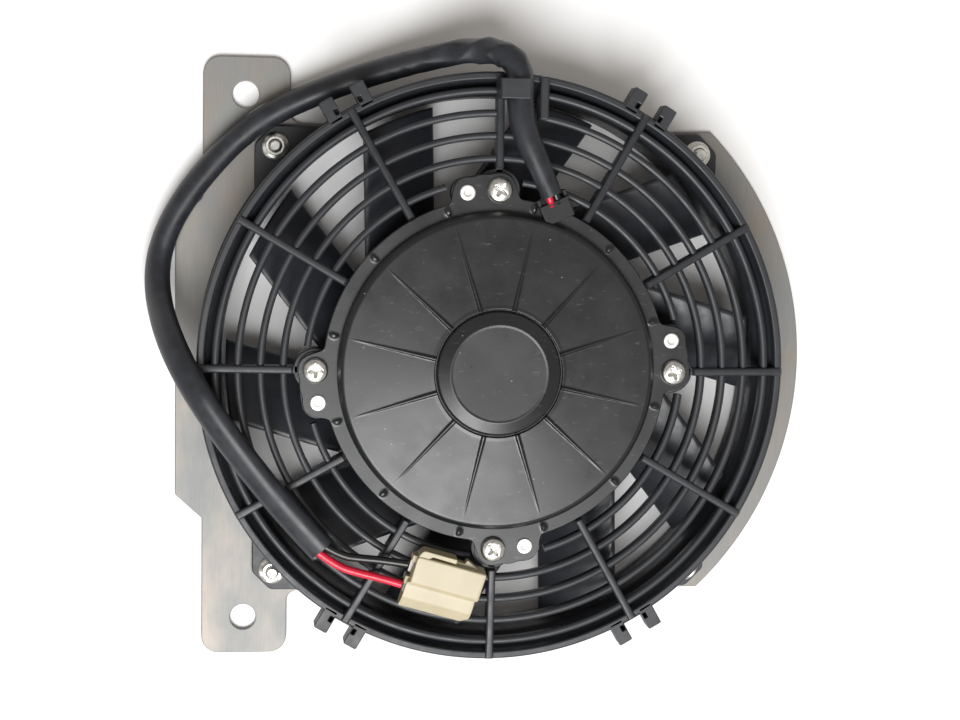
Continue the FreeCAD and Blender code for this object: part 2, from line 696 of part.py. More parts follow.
def brushes():
    floor_z = BRUSH_PLATE_Z + SHEET_T
    half = BRUSH_W / 2
    z0 = floor_z + 0.2
    return brush_gear(block(COMM_R + 0.15, BRUSH_X1, -half, half, z0, z0 + BRUSH_H))


def brush_springs():
    """Each spring between its brush and the end of the holder, as a plain sleeve."""
    start = V(BRUSH_X1 + 0.1, 0, BRUSH_PLATE_Z + SHEET_T + 1.95)
    outer = Part.makeCylinder(SPRING_R, SPRING_L, start, V(1, 0, 0))
    inner = Part.makeCylinder(SPRING_BORE_R, SPRING_L, start, V(1, 0, 0))
    return brush_gear(outer.cut(inner))


# --- impeller ---------------------------------------------------------------
def blade():
    """One paddle blade: a cambered section carried straight along its span."""
    half = BLADE_W / 2
    edge = BLADE_T / 2
    rise = BLADE_CAMBER
    outline = Part.Wire([
        Part.Arc(V(0, -half, -edge), V(0, 0, rise - edge), V(0, half, -edge)).toShape(),
        Part.LineSegment(V(0, half, -edge), V(0, half, edge)).toShape(),
        Part.Arc(V(0, half, edge), V(0, 0, rise + edge), V(0, -half, edge)).toShape(),
        Part.LineSegment(V(0, -half, edge), V(0, -half, -edge)).toShape(),
    ])
    slab = Part.Face(outline).extrude(V(BLADE_STOCK, 0, 0))
    slab.translate(V(-BLADE_STOCK / 2, 0, 0))
    slab.rotate(ORIGIN, V(1, 0, 0), BLADE_PITCH)
    slab.rotate(ORIGIN, Z_AXIS, BLADE_SWEEP)
    slab.translate(V(BLADE_MID[0], BLADE_MID[1], BLADE_Z))
    return slab.common(tube(CUP_R - CUP_WALL / 2, TIP_R, 0, CUP_Z1))


def impeller():
    cup = turned([
        (SHAFT_R, CUP_Z0), (CUP_R - CUP_CORNER, CUP_Z0), (CUP_R, CUP_Z0 + CUP_CORNER),
        (CUP_R, CUP_Z1), (CUP_R - CUP_WALL, CUP_Z1), (CUP_R - CUP_WALL, CUP_Z0 + CUP_CORNER + 0.8),
        (CUP_R - CUP_CORNER - 0.8, CUP_Z0 + 2.0), (HUB_COLLAR_R, CUP_Z0 + 2.0),
        (HUB_COLLAR_R, CUP_Z0 + HUB_COLLAR_H), (SHAFT_R, CUP_Z0 + HUB_COLLAR_H),
    ])
    return fused([cup] + spread(blade(), BLADE_N))


def hub_retainer():
    """The push-on cap that keeps the impeller on the shaft."""
    return tube(SHAFT_R, RETAINER_R, RETAINER_Z0, CUP_Z0)


# --- leads ------------------------------------------------------------------
def rounded_path(route):
    """Straight runs joined by tangent arcs, as large as the shorter run beside each allows."""
    points = [V(*p) for p in route]
    edges = []
    radii = []
    last = points[0]
    for before, corner, after in zip(points, points[1:], points[2:]):
        back = (before - corner).normalize()
        ahead = (after - corner).normalize()
        shorter = min((before - corner).Length, (after - corner).Length)
        half_turn = (math.pi - back.getAngle(ahead)) / 2
        setback = 0.45 * shorter
        radius = setback / math.tan(half_turn)
        inward = (back + ahead).normalize()
        middle = corner + inward * (radius / math.cos(half_turn) - radius)
        start, end = corner + back * setback, corner + ahead * setback
        edges.append(Part.LineSegment(last, start).toShape())
        edges.append(Part.Arc(start, middle, end).toShape())
        radii.append(radius)
        last = end
    edges.append(Part.LineSegment(last, points[-1]).toShape())
    return Part.Wire(edges), radii


def cord_tube(name, route, radius):
    """A round cord along its route; prints its bend radii and checks its volume."""
    path, radii = rounded_path(route)
    start = V(*route[0])
    way = V(*route[1]) - start
    section = Part.Wire([Part.makeCircle(radius, start, way)])
    body = path.makePipeShell([section], True, False)
    expected = math.pi * radius ** 2 * path.Length
    print(f"{name}: length {path.Length:.1f} mm, volume ratio {body.Volume / expected:.4f}, radii",
          " ".join(f"{r:.0f}" for r in radii))
    return body


def cable_sleeve():
    return cord_tube("cable_sleeve", SLEEVE_ROUTE, SLEEVE_R)


def red_wire():
    return cord_tube("red_wire", RED_ROUTE, WIRE_R)


def black_wire():
    return cord_tube("black_wire", BLACK_ROUTE, WIRE_R)


def on_grille(shape):
    """Carries a connector piece from its own frame to where it lies on the grille."""
    copy = shape.copy()
    copy.rotate(ORIGIN, V(1, 0, 0), PLUG_TILT)
    copy.rotate(ORIGIN, Z_AXIS, PLUG_TURN)
    copy.translate(V(*PLUG_C))
    return copy


def terminal_place(route):
    """Where a wire's end meets the connector, in the connector's own frame."""
    point = V(*route[-1]) - V(*PLUG_C)
    turn = FreeCAD.Rotation(Z_AXIS, PLUG_TURN).multiply(FreeCAD.Rotation(V(1, 0, 0), PLUG_TILT))
    return turn.inverted().multVec(point)


def connector_housing():
    """The two-way housing: two long decks one step apart, latch arm and open cavities."""
    x0, x1 = -PLUG_L / 2, PLUG_L / 2
    y0, y1 = -PLUG_W / 2, PLUG_W / 2
    shelf = PLUG_H - PLUG_STEP
    section = [(y0, 0), (y1, 0), (y1, PLUG_H), (0.6, PLUG_H), (-0.8, shelf),
               (y0 + PLUG_SLOPE_W, shelf - 0.4), (y0, PLUG_SIDE_Z)]
    points = [V(x0, y, z) for y, z in section]
    body = Part.Face(Part.makePolygon(points + points[:1])).extrude(V(PLUG_L, 0, 0))
    cut_x, cut_y = PLUG_CUT
    corner = prism([(x1, y0), (x1, y0 + cut_y), (x1 - cut_x, y0)], 0, PLUG_H)
    arm_y = y1 + LATCH_GAP
    arm = block(x0 + LATCH_X[0], x0 + LATCH_X[1], arm_y, arm_y + LATCH_T, 3.0, shelf)
    root = block(x0 + LATCH_X[0], x0 + LATCH_X[0] + LATCH_ROOT, y1 - 1.0, arm_y + 1.0, 3.0, shelf)
    solids = fused([body.cut(corner), arm, root])
    for route in (RED_ROUTE, BLACK_ROUTE):
        place = terminal_place(route)
        cavity = block(place.x + 1.0, x1 + 1.0, place.y - CAVITY_HALF_W, place.y + CAVITY_HALF_W,
                       *CAVITY_Z)
        solids = solids.cut(cavity)
    return on_grille(solids)


def connector_terminals():
    """One blade terminal in each cavity."""
    solids = []
    for route in (RED_ROUTE, BLACK_ROUTE):
        place = terminal_place(route)
        blade_tab = block(place.x + 1.0, TERMINAL_END, place.y - TERMINAL_HALF_W,
                          place.y + TERMINAL_HALF_W, *TERMINAL_Z)
        solids.append(on_grille(blade_tab))
    return Part.makeCompound(solids)


PIECES = (
    mounting_plate, plate_studs, flange_nuts, shroud, motor_can, motor_cover, motor_screws,
    cover_rivets, lead_grommet, magnets, armature_core, armature_winding, commutator, motor_shaft,
    bearing_inner_rings, bearing_outer_rings, bearing_balls, brush_plate, brush_holders, brushes,
    brush_springs, impeller, hub_retainer, cable_sleeve, red_wire, black_wire, connector_housing,
    connector_terminals,
)

os.makedirs("parts", exist_ok=True)
for piece in PIECES:
    save(piece.__name__, piece())
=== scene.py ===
import math

import bpy
import numpy as np
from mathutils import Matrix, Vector
from mathutils.geometry import tessellate_polygon


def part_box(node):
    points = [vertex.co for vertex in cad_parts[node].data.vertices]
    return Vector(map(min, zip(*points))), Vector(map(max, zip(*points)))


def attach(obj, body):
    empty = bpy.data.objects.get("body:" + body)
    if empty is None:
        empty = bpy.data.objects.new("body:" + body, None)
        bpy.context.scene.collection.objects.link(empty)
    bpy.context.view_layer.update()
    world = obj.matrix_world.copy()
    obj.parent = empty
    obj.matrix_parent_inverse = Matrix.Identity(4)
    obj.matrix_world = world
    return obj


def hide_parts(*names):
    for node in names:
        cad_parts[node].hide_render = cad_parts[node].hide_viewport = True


# Looks of an oil cooler's fan module: a sheet plate, a moulded guard shroud, a flat motor,
# a ten-bladed impeller and the sleeved leads with their connector.
# Shapes are worked out in millimetres and put into the meshes in metres. The fan axis is Z.

bl_info = {
    "name": "Oil Cooler Fan Module",
    "version": (1, 0, 0),
    "blender": (4, 5, 0),
    "location": "3D View > Sidebar > Cooler",
    "description": "Builds the visible pieces and finishes of an oil cooler's fan module",
    "category": "Add Mesh",
}

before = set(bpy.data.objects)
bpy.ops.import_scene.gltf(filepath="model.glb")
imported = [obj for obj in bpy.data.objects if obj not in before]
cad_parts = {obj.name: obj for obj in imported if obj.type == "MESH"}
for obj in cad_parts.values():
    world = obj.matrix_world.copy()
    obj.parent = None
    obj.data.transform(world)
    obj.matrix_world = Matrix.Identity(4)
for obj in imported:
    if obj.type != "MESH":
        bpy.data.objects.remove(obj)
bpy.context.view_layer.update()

MM = 0.001
TURN = 2 * math.pi


def box_mm(node):
    """The lowest and highest corner of a CAD node in millimetres."""
    low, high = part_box(node)
    return np.array(low) / MM, np.array(high) / MM


PLATE_LOW, PLATE_HIGH = box_mm("mounting_plate")
NUT_LOW, NUT_HIGH = box_mm("flange_nuts")
STUD_LOW, STUD_HIGH = box_mm("plate_studs")
COVER_LOW, COVER_HIGH = box_mm("motor_cover")

# --- plate ------------------------------------------------------------------
PLATE_T = PLATE_HIGH[2]
PLATE_EDGE = 0.35
STRIP_X0, STRIP_X1 = -122.5, -85.5
STRIP_CORNER_R = 7.5
STRIP_FILLET_R = 4.5
BUMP_HALF_Y = 59.0
BUMP_CHAMFER_Y = 10.5
BODY_HALF_Y = 102.0
WEB_R = 120.5
THROAT_R = 115.5
HOLE_R = 5.6
HOLE_X, HOLE_Y = -104.5, 113.5
NUT_FLANGE_R = 5.8
NUT_FLANGE_T = 1.1
NUT_AF = 8.0
STUD_R = 2.5
STUD_XY = NUT_HIGH[0] - NUT_FLANGE_R
STUD_HEAD_R = 3.95
NUT_TOP_R, NUT_CONE_R = 3.85, 4.35
PAST_FLATS_R = 9.0
THREAD_PITCH, THREAD_DEPTH = 0.8, 0.12

# --- shroud -----------------------------------------------------------------
BASE_R = 124.6
BASE_TOP = 5.2
TUNNEL_R = 114.2
WALL_R = 117.4
WALL_TOP, THROAT_TOP = 27.0, 26.0
FLARE_TOP, RIM_IN_Z = 32.5, 34.5
RIM_R = 124.1
RIM_IN_R = 120.9
RIM_TOP = 38.0
RING_R = (116.3, 107.0, 97.7, 88.4, 79.1)
RING_H = 5.0
RING_DROP = 1.2
SPOKE_N = 12
SPOKE_RIM_TOP = 38.8
DISH_SLOPE = 0.082
SPOKE_BOTTOM = 32.2
HUB_R0, HUB_R1 = 65.5, 71.8
HUB_BOTTOM, HUB_TOP = 35.5, 39.4
BOSS_R = 9.0
RIVET_PAD_R = 6.6
SPOKE_STATIONS = (90.0, 104.0, 113.0, 117.5, 120.5)
HOOK_ANGLES = (60.0, 120.0, 240.0, 300.0)
HOOK_OFFSET = 7.2
HOOK_REACH = 7.8
HOOK_HEAD_Z = 32.0
HOOK_FOOT_Z = (29.2, 32.6)
HOOK_SLOT_X = (0.2, 2.6)
HOOK_SLOT_Y, HOOK_SLOT_HALF = 1.4, 0.8
HOOK_TIE_X = (-0.6, 0.55)
HOOK_TIE_Z = 31.0

# --- motor ------------------------------------------------------------------
SCREW_R = 75.3
RIVET_SWING = 10.3
FLANGE_R = 72.2
COVER_FLANGE = COVER_LOW[2]
COVER_TOP = COVER_FLANGE + 1.5
DOME_R = 66.4
DOME_TOP = 48.1
DOME_RISE = 2.4
CAP_R = 26.6
CAP_FLAT_R = 20.0
CAP_TOP = COVER_HIGH[2]
CAP_SHOULDER = ((25.3, 51.5, 0.9), (25.9, 50.5, 0.4), (26.0, 49.5, 0.15))
CAP_GROOVE_Z = CAP_SHOULDER[-1][1]
CAP_IN_R = (24.9, 24.2)
SKIN_T = 1.5
RIB_START = 17.5
RIB_R0, RIB_R1 = 27.2, 58.5
RIB_END_WIDTH, RIB_END_HEIGHT = 0.45, 0.12
BUMP_N = 12
BUMP_R = 69.4
BUMP_HALF_W, BUMP_HALF_R, BUMP_H = 1.7, 1.6, 0.85
SCREW_TOP, SCREW_SHOULDER, SCREW_EDGE = 3.4, 2.4, 1.2
CROSS_ARM, CROSS_TAPER, CROSS_REACH = 0.75, 0.12, 2.9
CROSS_DEPTH, CROSS_RISE = 1.5, 0.3
RIVET_R, RIVET_TOP, RIVET_DIP = 3.3, 0.9, 0.75

# --- impeller ---------------------------------------------------------------
TIP_R = 112.6
CUP_R = 62.0
CUP_Z0, CUP_Z1 = 9.0, 36.0
CUP_WALL, CUP_FLOOR = 1.8, 2.0
CUP_BORE_R, CUP_BOSS_R, CUP_BOSS_H = 4.0, 9.0, 3.8
BLADE_SWEEP = -16.3
BLADE_MID = (90.8, 12.6, 19.2)

# --- leads: the same points as the solids' routes, in metres ------------------
SLEEVE_ROUTE = (
    (0.0208, 0.0734, 0.0482), (0.0149, 0.0864, 0.0481), (0.0090, 0.0988, 0.0470),
    (0.0072, 0.1104, 0.0448), (0.0075, 0.1202, 0.0445), (0.0056, 0.1276, 0.0432),
    (0.0002, 0.1318, 0.0392), (-0.0084, 0.1329, 0.0334), (-0.0196, 0.1318, 0.0272),
    (-0.0330, 0.1286, 0.0216), (-0.0470, 0.1246, 0.0168), (-0.0616, 0.1198, 0.0130),
    (-0.0770, 0.1136, 0.0106), (-0.0924, 0.1066, 0.0093), (-0.1064, 0.0966, 0.0086),
    (-0.1184, 0.0840, 0.0082), (-0.1290, 0.0706, 0.0079), (-0.1370, 0.0566, 0.0074),
    (-0.1414, 0.0416, 0.0078), (-0.1406, 0.0266, 0.0166), (-0.1348, 0.0108, 0.0336),
    (-0.1252, -0.0066, 0.0466), (-0.1132, -0.0242, 0.0476), (-0.1008, -0.0410, 0.0468),
    (-0.0866, -0.0584, 0.0466), (-0.0723, -0.0741, 0.0464),
)
RED_ROUTE = (
    (-0.0737, -0.0754, 0.0457), (-0.0656, -0.0818, 0.0446), (-0.0566, -0.0846, 0.0446),
    (-0.0476, -0.0866, 0.0456), (-0.0386, -0.0893, 0.0461),
)
BLACK_ROUTE = (
    (-0.0709, -0.0728, 0.0462), (-0.0640, -0.0772, 0.0454), (-0.0556, -0.0784, 0.0452),
    (-0.0464, -0.0790, 0.0462), (-0.0362, -0.0806, 0.0468),
)
PLUG_C = (-21.6, -90.6, 40.2)
PLUG_TURN = -16.0
PLUG_TILT = 4.7
PLUG_L, PLUG_W, PLUG_H = 31.0, 24.0, 11.6
PLUG_STEP = 1.6
PLUG_SIDE_Z, PLUG_SLOPE_W = 5.4, 4.6
PLUG_CUT = (2.8, 2.4)
LATCH_GAP, LATCH_T = 0.8, 2.0
LATCH_FAR = LATCH_GAP + LATCH_T
# Plans as (x from the wires' end, y from the long side, corner radius).
LATCH_PLAN = ((1.6, -1.4, 0.2), (5.2, -0.8, 0.2), (7.4, LATCH_GAP + 0.2, 0.4),
              (17.5, LATCH_GAP, 0.2), (17.5, LATCH_FAR, 0.35), (2.9, LATCH_FAR, 1.8),
              (1.6, 0.4, 0.8))
WEDGE_PLAN = ((17.0, -1.0, 0.2), (27.4, -1.0, 0.2), (27.4, 0.3, 0.3), (22.2, 2.9, 0.4),
              (21.4, 1.2, 0.2), (17.0, 1.2, 0.2))


# --- sizes and colours a user would change ------------------------------------
def length(name, about, millimetres):
    return bpy.props.FloatProperty(name=name, description=about, default=millimetres * MM,
                                   min=0.0, unit="LENGTH")


def colour(name, about, code):
    return bpy.props.FloatVectorProperty(name=name, description=about, subtype="COLOR", size=3,
                                         min=0.0, max=1.0, default=linear(code)[:3])


def linear(code):
    """An sRGB hex colour as linear RGBA: each channel through the sRGB curve."""
    channels = np.array([int(code[i:i + 2], 16) for i in (1, 3, 5)]) / 255
    low, high = channels / 12.92, ((channels + 0.055) / 1.055) ** 2.4
    return (*np.where(channels <= 0.04045, low, high).tolist(), 1.0)


class GuardSizes(bpy.types.PropertyGroup):
    ring_width: length("Ring width", "Width of one grille ring", 3.1)
    spoke_width: length("Spoke width", "Width of one spoke at its top", 3.3)
    hook_width: length("Hook width", "Width of one mounting hook", 6.2)


class MotorSizes(bpy.types.PropertyGroup):
    rib_count: bpy.props.IntProperty(name="Ribs", description="Ribs on the cover",
                                     default=12, min=3)
    rib_height: length("Rib height", "Height of a rib beside the cap", 0.95)
    rib_width: length("Rib width", "Width of a rib beside the cap", 1.5)
    screw_head: length("Screw head", "Radius of a screw's head", 5.3)


class ImpellerSizes(bpy.types.PropertyGroup):
    blade_count: bpy.props.IntProperty(name="Blades", description="Blades on the cup",
                                       default=10, min=2)
    blade_width: length("Blade width", "Chord of a blade", 35.8)
    blade_thickness: length("Blade thickness", "Thickness of a blade", 2.0)
    blade_camber: length("Blade camber", "Rise of a blade's curved section", 2.2)
    blade_pitch: bpy.props.FloatProperty(name="Blade pitch", subtype="ANGLE",
                                         description="Turn of the chord out of the fan's plane",
                                         default=math.radians(30.0))


class LeadSizes(bpy.types.PropertyGroup):
    sleeve_diameter: length("Sleeve diameter", "Outside of the leads' sleeve", 10.5)
    wire_diameter: length("Wire diameter", "Outside of one insulated wire", 3.4)


class Finishes(bpy.types.PropertyGroup):
    plastic: colour("Moulded plastic", "The shroud and its guard", "#26282c")
    cover: colour("Motor cover", "Coated steel of the motor", "#17191c")
    plate: colour("Plate", "The warmer patches of the bare galvanised sheet", "#88827b")
    red: colour("Red wire", "Insulation of the supply wire", "#cc1c38")
    nylon: colour("Connector", "Undyed nylon", "#b0a68a")


GROUPS = {"guard_sizes": GuardSizes, "motor_sizes": MotorSizes, "impeller_sizes": ImpellerSizes,
          "lead_sizes": LeadSizes, "finishes": Finishes}


# --- surfaces -----------------------------------------------------------------
def unit(vectors):
    """Each vector divided by its own length."""
    return vectors / np.linalg.norm(vectors, axis=-1, keepdims=True)


def polar(radius, angle, z=0.0):
    """The point at a radius and an angle in degrees about the fan axis."""
    turn = math.radians(angle)
    return np.array([radius * math.cos(turn), radius * math.sin(turn), z])


def around(count):
    """Evenly spaced angles round a full turn, in radians."""
    return np.linspace(0, TURN, count, endpoint=False)


def spun(r, angle, z):
    """Points at a radius, an angle and a height: (r cos angle, r sin angle, z)."""
    return np.stack([r * np.cos(angle), r * np.sin(angle), z + 0 * angle], -1)


def shell(rows, closed=False):
    """A closed surface from rows of points, each row a closed loop.
    Closed joins the last row to the first; otherwise each end is a fan to the loop's middle.
    The faces turn outwards: the sum of the volumes under them is made positive."""
    count, width = rows.shape[:2]
    points = rows.reshape(-1, 3)
    index = np.arange(count * width).reshape(count, width)
    near = index if closed else index[:-1]
    far = np.roll(index, -1, 0) if closed else index[1:]
    quads = np.stack([near, np.roll(near, -1, 1), np.roll(far, -1, 1), far], -1).reshape(-1, 4)
    tris = np.zeros((0, 3), int)
    if not closed:
        poles = np.stack([rows[0].mean(0), rows[-1].mean(0)])
        points = np.concatenate([points, poles])
        first, last = index[0], index[-1]
        start = np.stack([np.roll(first, -1), first, np.full(width, count * width)], -1)
        end = np.stack([last, np.roll(last, -1), np.full(width, count * width + 1)], -1)
        tris = np.concatenate([start, end])
    return outward(points, quads, tris)


def outward(points, quads, tris):
    """The same surface, turned over if its signed volume is below zero."""
    corners = np.concatenate([quads[:, [0, 1, 2]], quads[:, [0, 2, 3]], tris])
    a, b, c = (points[corners[:, i]] for i in range(3))
    if np.einsum("ij,ij->i", a, np.cross(b, c)).sum() < 0:
        quads, tris = quads[:, ::-1], tris[:, ::-1]
    return points, quads, tris


def rounded(corners, steps=7, closed=True):
    """An outline whose corners (x, y, radius) give way to arcs of their radius, tangent to
    both sides; a short support point before and after each arc keeps the flats flat."""
    given = np.array(corners, float)
    p, r = given[:, :2], np.maximum(given[:, 2], 1e-6)
    back = unit(np.roll(p, 1, 0) - p)
    ahead = unit(np.roll(p, -1, 0) - p)
    half = np.arccos(np.clip((back * ahead).sum(-1), -0.9999999, 0.9999999)) / 2
    reach = (r / np.tan(half))[:, None]
    centre = p + unit(back + ahead + 1e-12) * (r / np.sin(half))[:, None]
    start, end = p + back * reach, p + ahead * reach
    swing = (math.pi - 2 * half)[:, None, None]
    t = np.linspace(0, 1, steps)[None, :, None]
    arc = centre[:, None] + ((start - centre)[:, None] * np.sin((1 - t) * swing)
                             + (end - centre)[:, None] * np.sin(t * swing)) / np.sin(swing)
    hold = np.minimum(0.12, reach * 0.4)
    run = np.concatenate([(start + back * hold)[:, None], arc, (end + ahead * hold)[:, None]], 1)
    points = run.reshape(-1, 2)
    if not closed:
        points = np.concatenate([p[:1], run[1:-1].reshape(-1, 2), p[-1:]])
    keep = np.linalg.norm(points - np.roll(points, 1, 0), axis=-1) > 1e-4
    return points[keep]


def resampled(line, step):
    """The line with points added so that no run between two is longer than the step."""
    pieces = []
    for a, b in zip(line, line[1:]):
        count = max(1, math.ceil(float(np.linalg.norm(b - a)) / step))
        pieces.append(a + (b - a) * np.linspace(0, 1, count, endpoint=False)[:, None])
    return np.concatenate(pieces + [line[-1:]])


def lathe(outline, segments=288, start=0.0, end=360.0):
    """An (r, z) outline carried round the fan axis, or along a part of the turn."""
    full = end - start > 359.9
    angle = np.radians(np.linspace(start, end, segments, endpoint=not full))[:, None]
    return shell(spun(outline[:, 0][None], angle, outline[:, 1][None]), closed=full)


def disc(profile, segments=48, centre=(0.0, 0.0)):
    """An (r, z) profile that runs from one end of an upright axis to the other."""
    rows = spun(profile[:, 0][:, None], around(segments)[None], profile[:, 1][:, None])
    return shell(rows + np.array([*centre, 0.0]))


def inset(loop, distance):
    """The loop moved to its left by a distance: each corner goes along its bisector."""
    before = unit(loop - np.roll(loop, 1, 0))
    after = unit(np.roll(loop, -1, 0) - loop)
    left = unit(np.stack([-(before + after)[:, 1], (before + after)[:, 0]], -1) + 1e-12)
    normal = np.stack([-before[:, 1], before[:, 0]], -1)
    return loop + left * (distance / np.maximum((left * normal).sum(-1), 0.4))[:, None]


def area(loop):
    """The signed area inside a loop: positive where it runs anticlockwise."""
    x, y = loop[:, 0], loop[:, 1]
    return 0.5 * float(np.sum(x * np.roll(y, -1) - np.roll(x, -1) * y))


def slab(loops, z0, z1, edge=0.3):
    """A flat piece between two heights: an outline, holes after it, and a chamfer on every
    edge. Each loop's wall is a profile carried along it; the two faces are filled between."""
    arc = edge * (1 - math.sqrt(0.5))
    levels = ((edge, z0), (arc, z0 + arc), (0.0, z0 + edge), (0.0, z1 - edge), (arc, z1 - arc),
              (edge, z1))
    points, quads, bottom, top, count = [], [], [], [], 0
    for number, loop in enumerate(loops):
        turned_right = area(loop) < 0
        loop = loop[::-1] if turned_right == (number == 0) else loop
        width = len(loop)
        index = count + np.arange(len(levels) * width).reshape(len(levels), width)
        for distance, z in levels:
            points.append(np.column_stack([inset(loop, distance), np.full(width, z)]))
        a, b = index[:-1], index[1:]
        quads.append(np.stack([a, np.roll(a, -1, 1), np.roll(b, -1, 1), b], -1).reshape(-1, 4))
        bottom.append(index[0])
        top.append(index[-1])
        count += index.size
    points = np.concatenate(points)
    faces = [tuple(p) for p in points]
    tris = []
    for rims, up in ((bottom, False), (top, True)):
        flat = np.concatenate(rims)
        fill = np.array(tessellate_polygon([[Vector(faces[i]) for i in rim] for rim in rims]))
        found = flat[fill]
        a, b, c = (points[found[:, i]] for i in range(3))
        wrong = (np.cross(b - a, c - a)[:, 2] > 0) != up
        found[wrong] = found[wrong][:, ::-1]
        tris.append(found)
    return points, np.concatenate(quads), np.concatenate(tris)


def rectangle(x0, x1, y0, y1, radius=0.6):
    """A rectangle's outline with rounded corners."""
    return rounded([(x0, y0, radius), (x1, y0, radius), (x1, y1, radius), (x0, y1, radius)])


def circle(x, y, radius, segments=40):
    """A circle's outline, anticlockwise."""
    angle = around(segments)
    return np.column_stack([x + radius * np.cos(angle), y + radius * np.sin(angle)])


def bar(path, widths, tops, bottoms, crown=1.1):
    """A bar that stands on its path: a flat-sided section with a round top, carried along it.
    The section's width, top and bottom are given at each station."""
    path, widths = np.array(path, float), np.array(widths, float)[:, None]
    tops, bottoms = np.array(tops, float)[:, None], np.array(bottoms, float)[:, None]
    way = unit(np.gradient(path, axis=0))
    side = np.stack([-way[:, 1], way[:, 0]], -1)
    turn = np.radians(np.linspace(0, 90, 5))[None]
    reach = np.minimum(crown, widths * 0.48)
    right = widths / 2 - reach * (1 - np.cos(turn))
    rise = tops - reach * (1 - np.sin(turn))
    across = np.concatenate([widths / 2 - 0.25, right, -right[:, ::-1], -widths / 2 + 0.25], 1)
    height = np.concatenate([bottoms, rise, rise[:, ::-1], bottoms], 1)
    plan = path[:, None] + side[:, None] * across[..., None]
    return shell(np.concatenate([plan, height[..., None]], -1))


def moved(part, turn=0.0, tilt=0.0, to=(0.0, 0.0, 0.0)):
    """A shell tilted about X, turned about Z and then moved."""
    points, quads, tris = part
    a, b = math.radians(turn), math.radians(tilt)
    about_x = np.array([[1, 0, 0], [0, math.cos(b), -math.sin(b)], [0, math.sin(b), math.cos(b)]])
    about_z = np.array([[math.cos(a), -math.sin(a), 0], [math.sin(a), math.cos(a), 0], [0, 0, 1]])
    return points @ (about_z @ about_x).T + np.array(to), quads, tris


def on_edge(part):
    """A shell whose flat plan (x, y) stands up as (x, z), its height running along y."""
    points, quads, tris = part
    return points[:, [0, 2, 1]], quads[:, ::-1], tris[:, ::-1]


def spread(parts, count, start=0.0):
    """Each part repeated evenly round the fan axis."""
    return [moved(part, turn=start + 360.0 * i / count) for i in range(count) for part in parts]


def piece(name, shells, material, body="housing", stands_for=(), sharp=20.0):
    """One object from its shells, at the origin, riding on a body."""
    points, faces, count = [], [], 0
    for part_points, quads, tris in shells:
        points.append(part_points)
        faces += (quads + count).tolist() + (tris + count).tolist()
        count += len(part_points)
    mesh = bpy.data.meshes.new(name)
    mesh.from_pydata((np.concatenate(points) * MM).tolist(), [], faces)
    mesh.polygons.foreach_set("use_smooth", np.ones(len(faces), bool))
    mesh.set_sharp_from_angle(angle=math.radians(sharp))
    mesh.materials.append(material)
    made = bpy.data.objects.new(name, mesh)
    bpy.context.scene.collection.objects.link(made)
    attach(made, body)
    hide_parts(*stands_for)
    return made


# --- materials ------------------------------------------------------------------
def add_node(tree, kind, links=None, **settings):
    """Adds a node. Links maps a socket's name or number to a value or to an output."""
    made = tree.nodes.new(kind)
    for name, value in settings.items():
        setattr(made, name, value)
    for name, value in (links or {}).items():
        if isinstance(value, bpy.types.NodeSocket):
            tree.links.new(value, made.inputs[name])
        else:
            made.inputs[name].default_value = value
    return made


def started(name, base, metallic, roughness, **sockets):
    """A material with its shader, and the object's own coordinates."""
    material = bpy.data.materials.get(name)
    if material:
        return material, None, None, None
    material = bpy.data.materials.new(name)
    material.use_nodes = True
    tree = material.node_tree
    shader = tree.nodes["Principled BSDF"]
    shader.inputs["Base Color"].default_value = (*base[:3], 1.0)
    shader.inputs["Metallic"].default_value = metallic
    shader.inputs["Roughness"].default_value = roughness
    for socket, value in sockets.items():
        shader.inputs[socket.replace("_", " ")].default_value = value
    place = add_node(tree, "ShaderNodeTexCoord").outputs["Object"]
    return material, tree, shader, place


def noise(tree, place, size_mm, detail=3.0, stretch=(1.0, 1.0, 1.0), roughness=0.55):
    """Noise whose blotches are about as large as the given size."""
    scaled = add_node(tree, "ShaderNodeMapping", {"Vector": place, "Scale": stretch})
    made = add_node(tree, "ShaderNodeTexNoise",
                    {"Vector": scaled.outputs[0], "Scale": 1.0 / (size_mm * MM),
                     "Detail": detail, "Roughness": roughness})
    return made.outputs["Fac"]


def mapped(tree, value, low, high, start=0.3, end=0.7):
    """The value's range from start to end, stretched to run from low to high."""
    made = add_node(tree, "ShaderNodeMapRange", {"Value": value, "From Min": start,
                                                 "From Max": end, "To Min": low, "To Max": high})
    return made.outputs["Result"]


def tinted(tree, shader, value, first, second):
    """The base colour runs from one colour to the other as the value goes from 0 to 1."""
    made = add_node(tree, "ShaderNodeMix", {"Factor": value, 6: (*first[:3], 1.0),
                                            7: (*second[:3], 1.0)}, data_type="RGBA")
    tree.links.new(made.outputs[2], shader.inputs["Base Color"])


def bumped(tree, shader, value, strength, height_mm):
    """The value as a relief of the given height on the surface."""
    made = add_node(tree, "ShaderNodeBump", {"Height": value, "Strength": strength,
                                             "Distance": height_mm * MM})
    tree.links.new(made.outputs[0], shader.inputs["Normal"])


def shaded(base, factor):
    """A colour made darker or lighter by a factor."""
    return tuple(min(1.0, c * factor) for c in base[:3])


def specks(tree, place, spacing_mm, size):
    """Sparse round specks: 1 within a share of each cell's point, and 0 elsewhere."""
    cells = add_node(tree, "ShaderNodeTexVoronoi", {"Vector": place,
                                                   "Scale": 1.0 / (spacing_mm * MM)})
    return mapped(tree, cells.outputs["Distance"], 1.0, 0.0, size * 0.6, size)


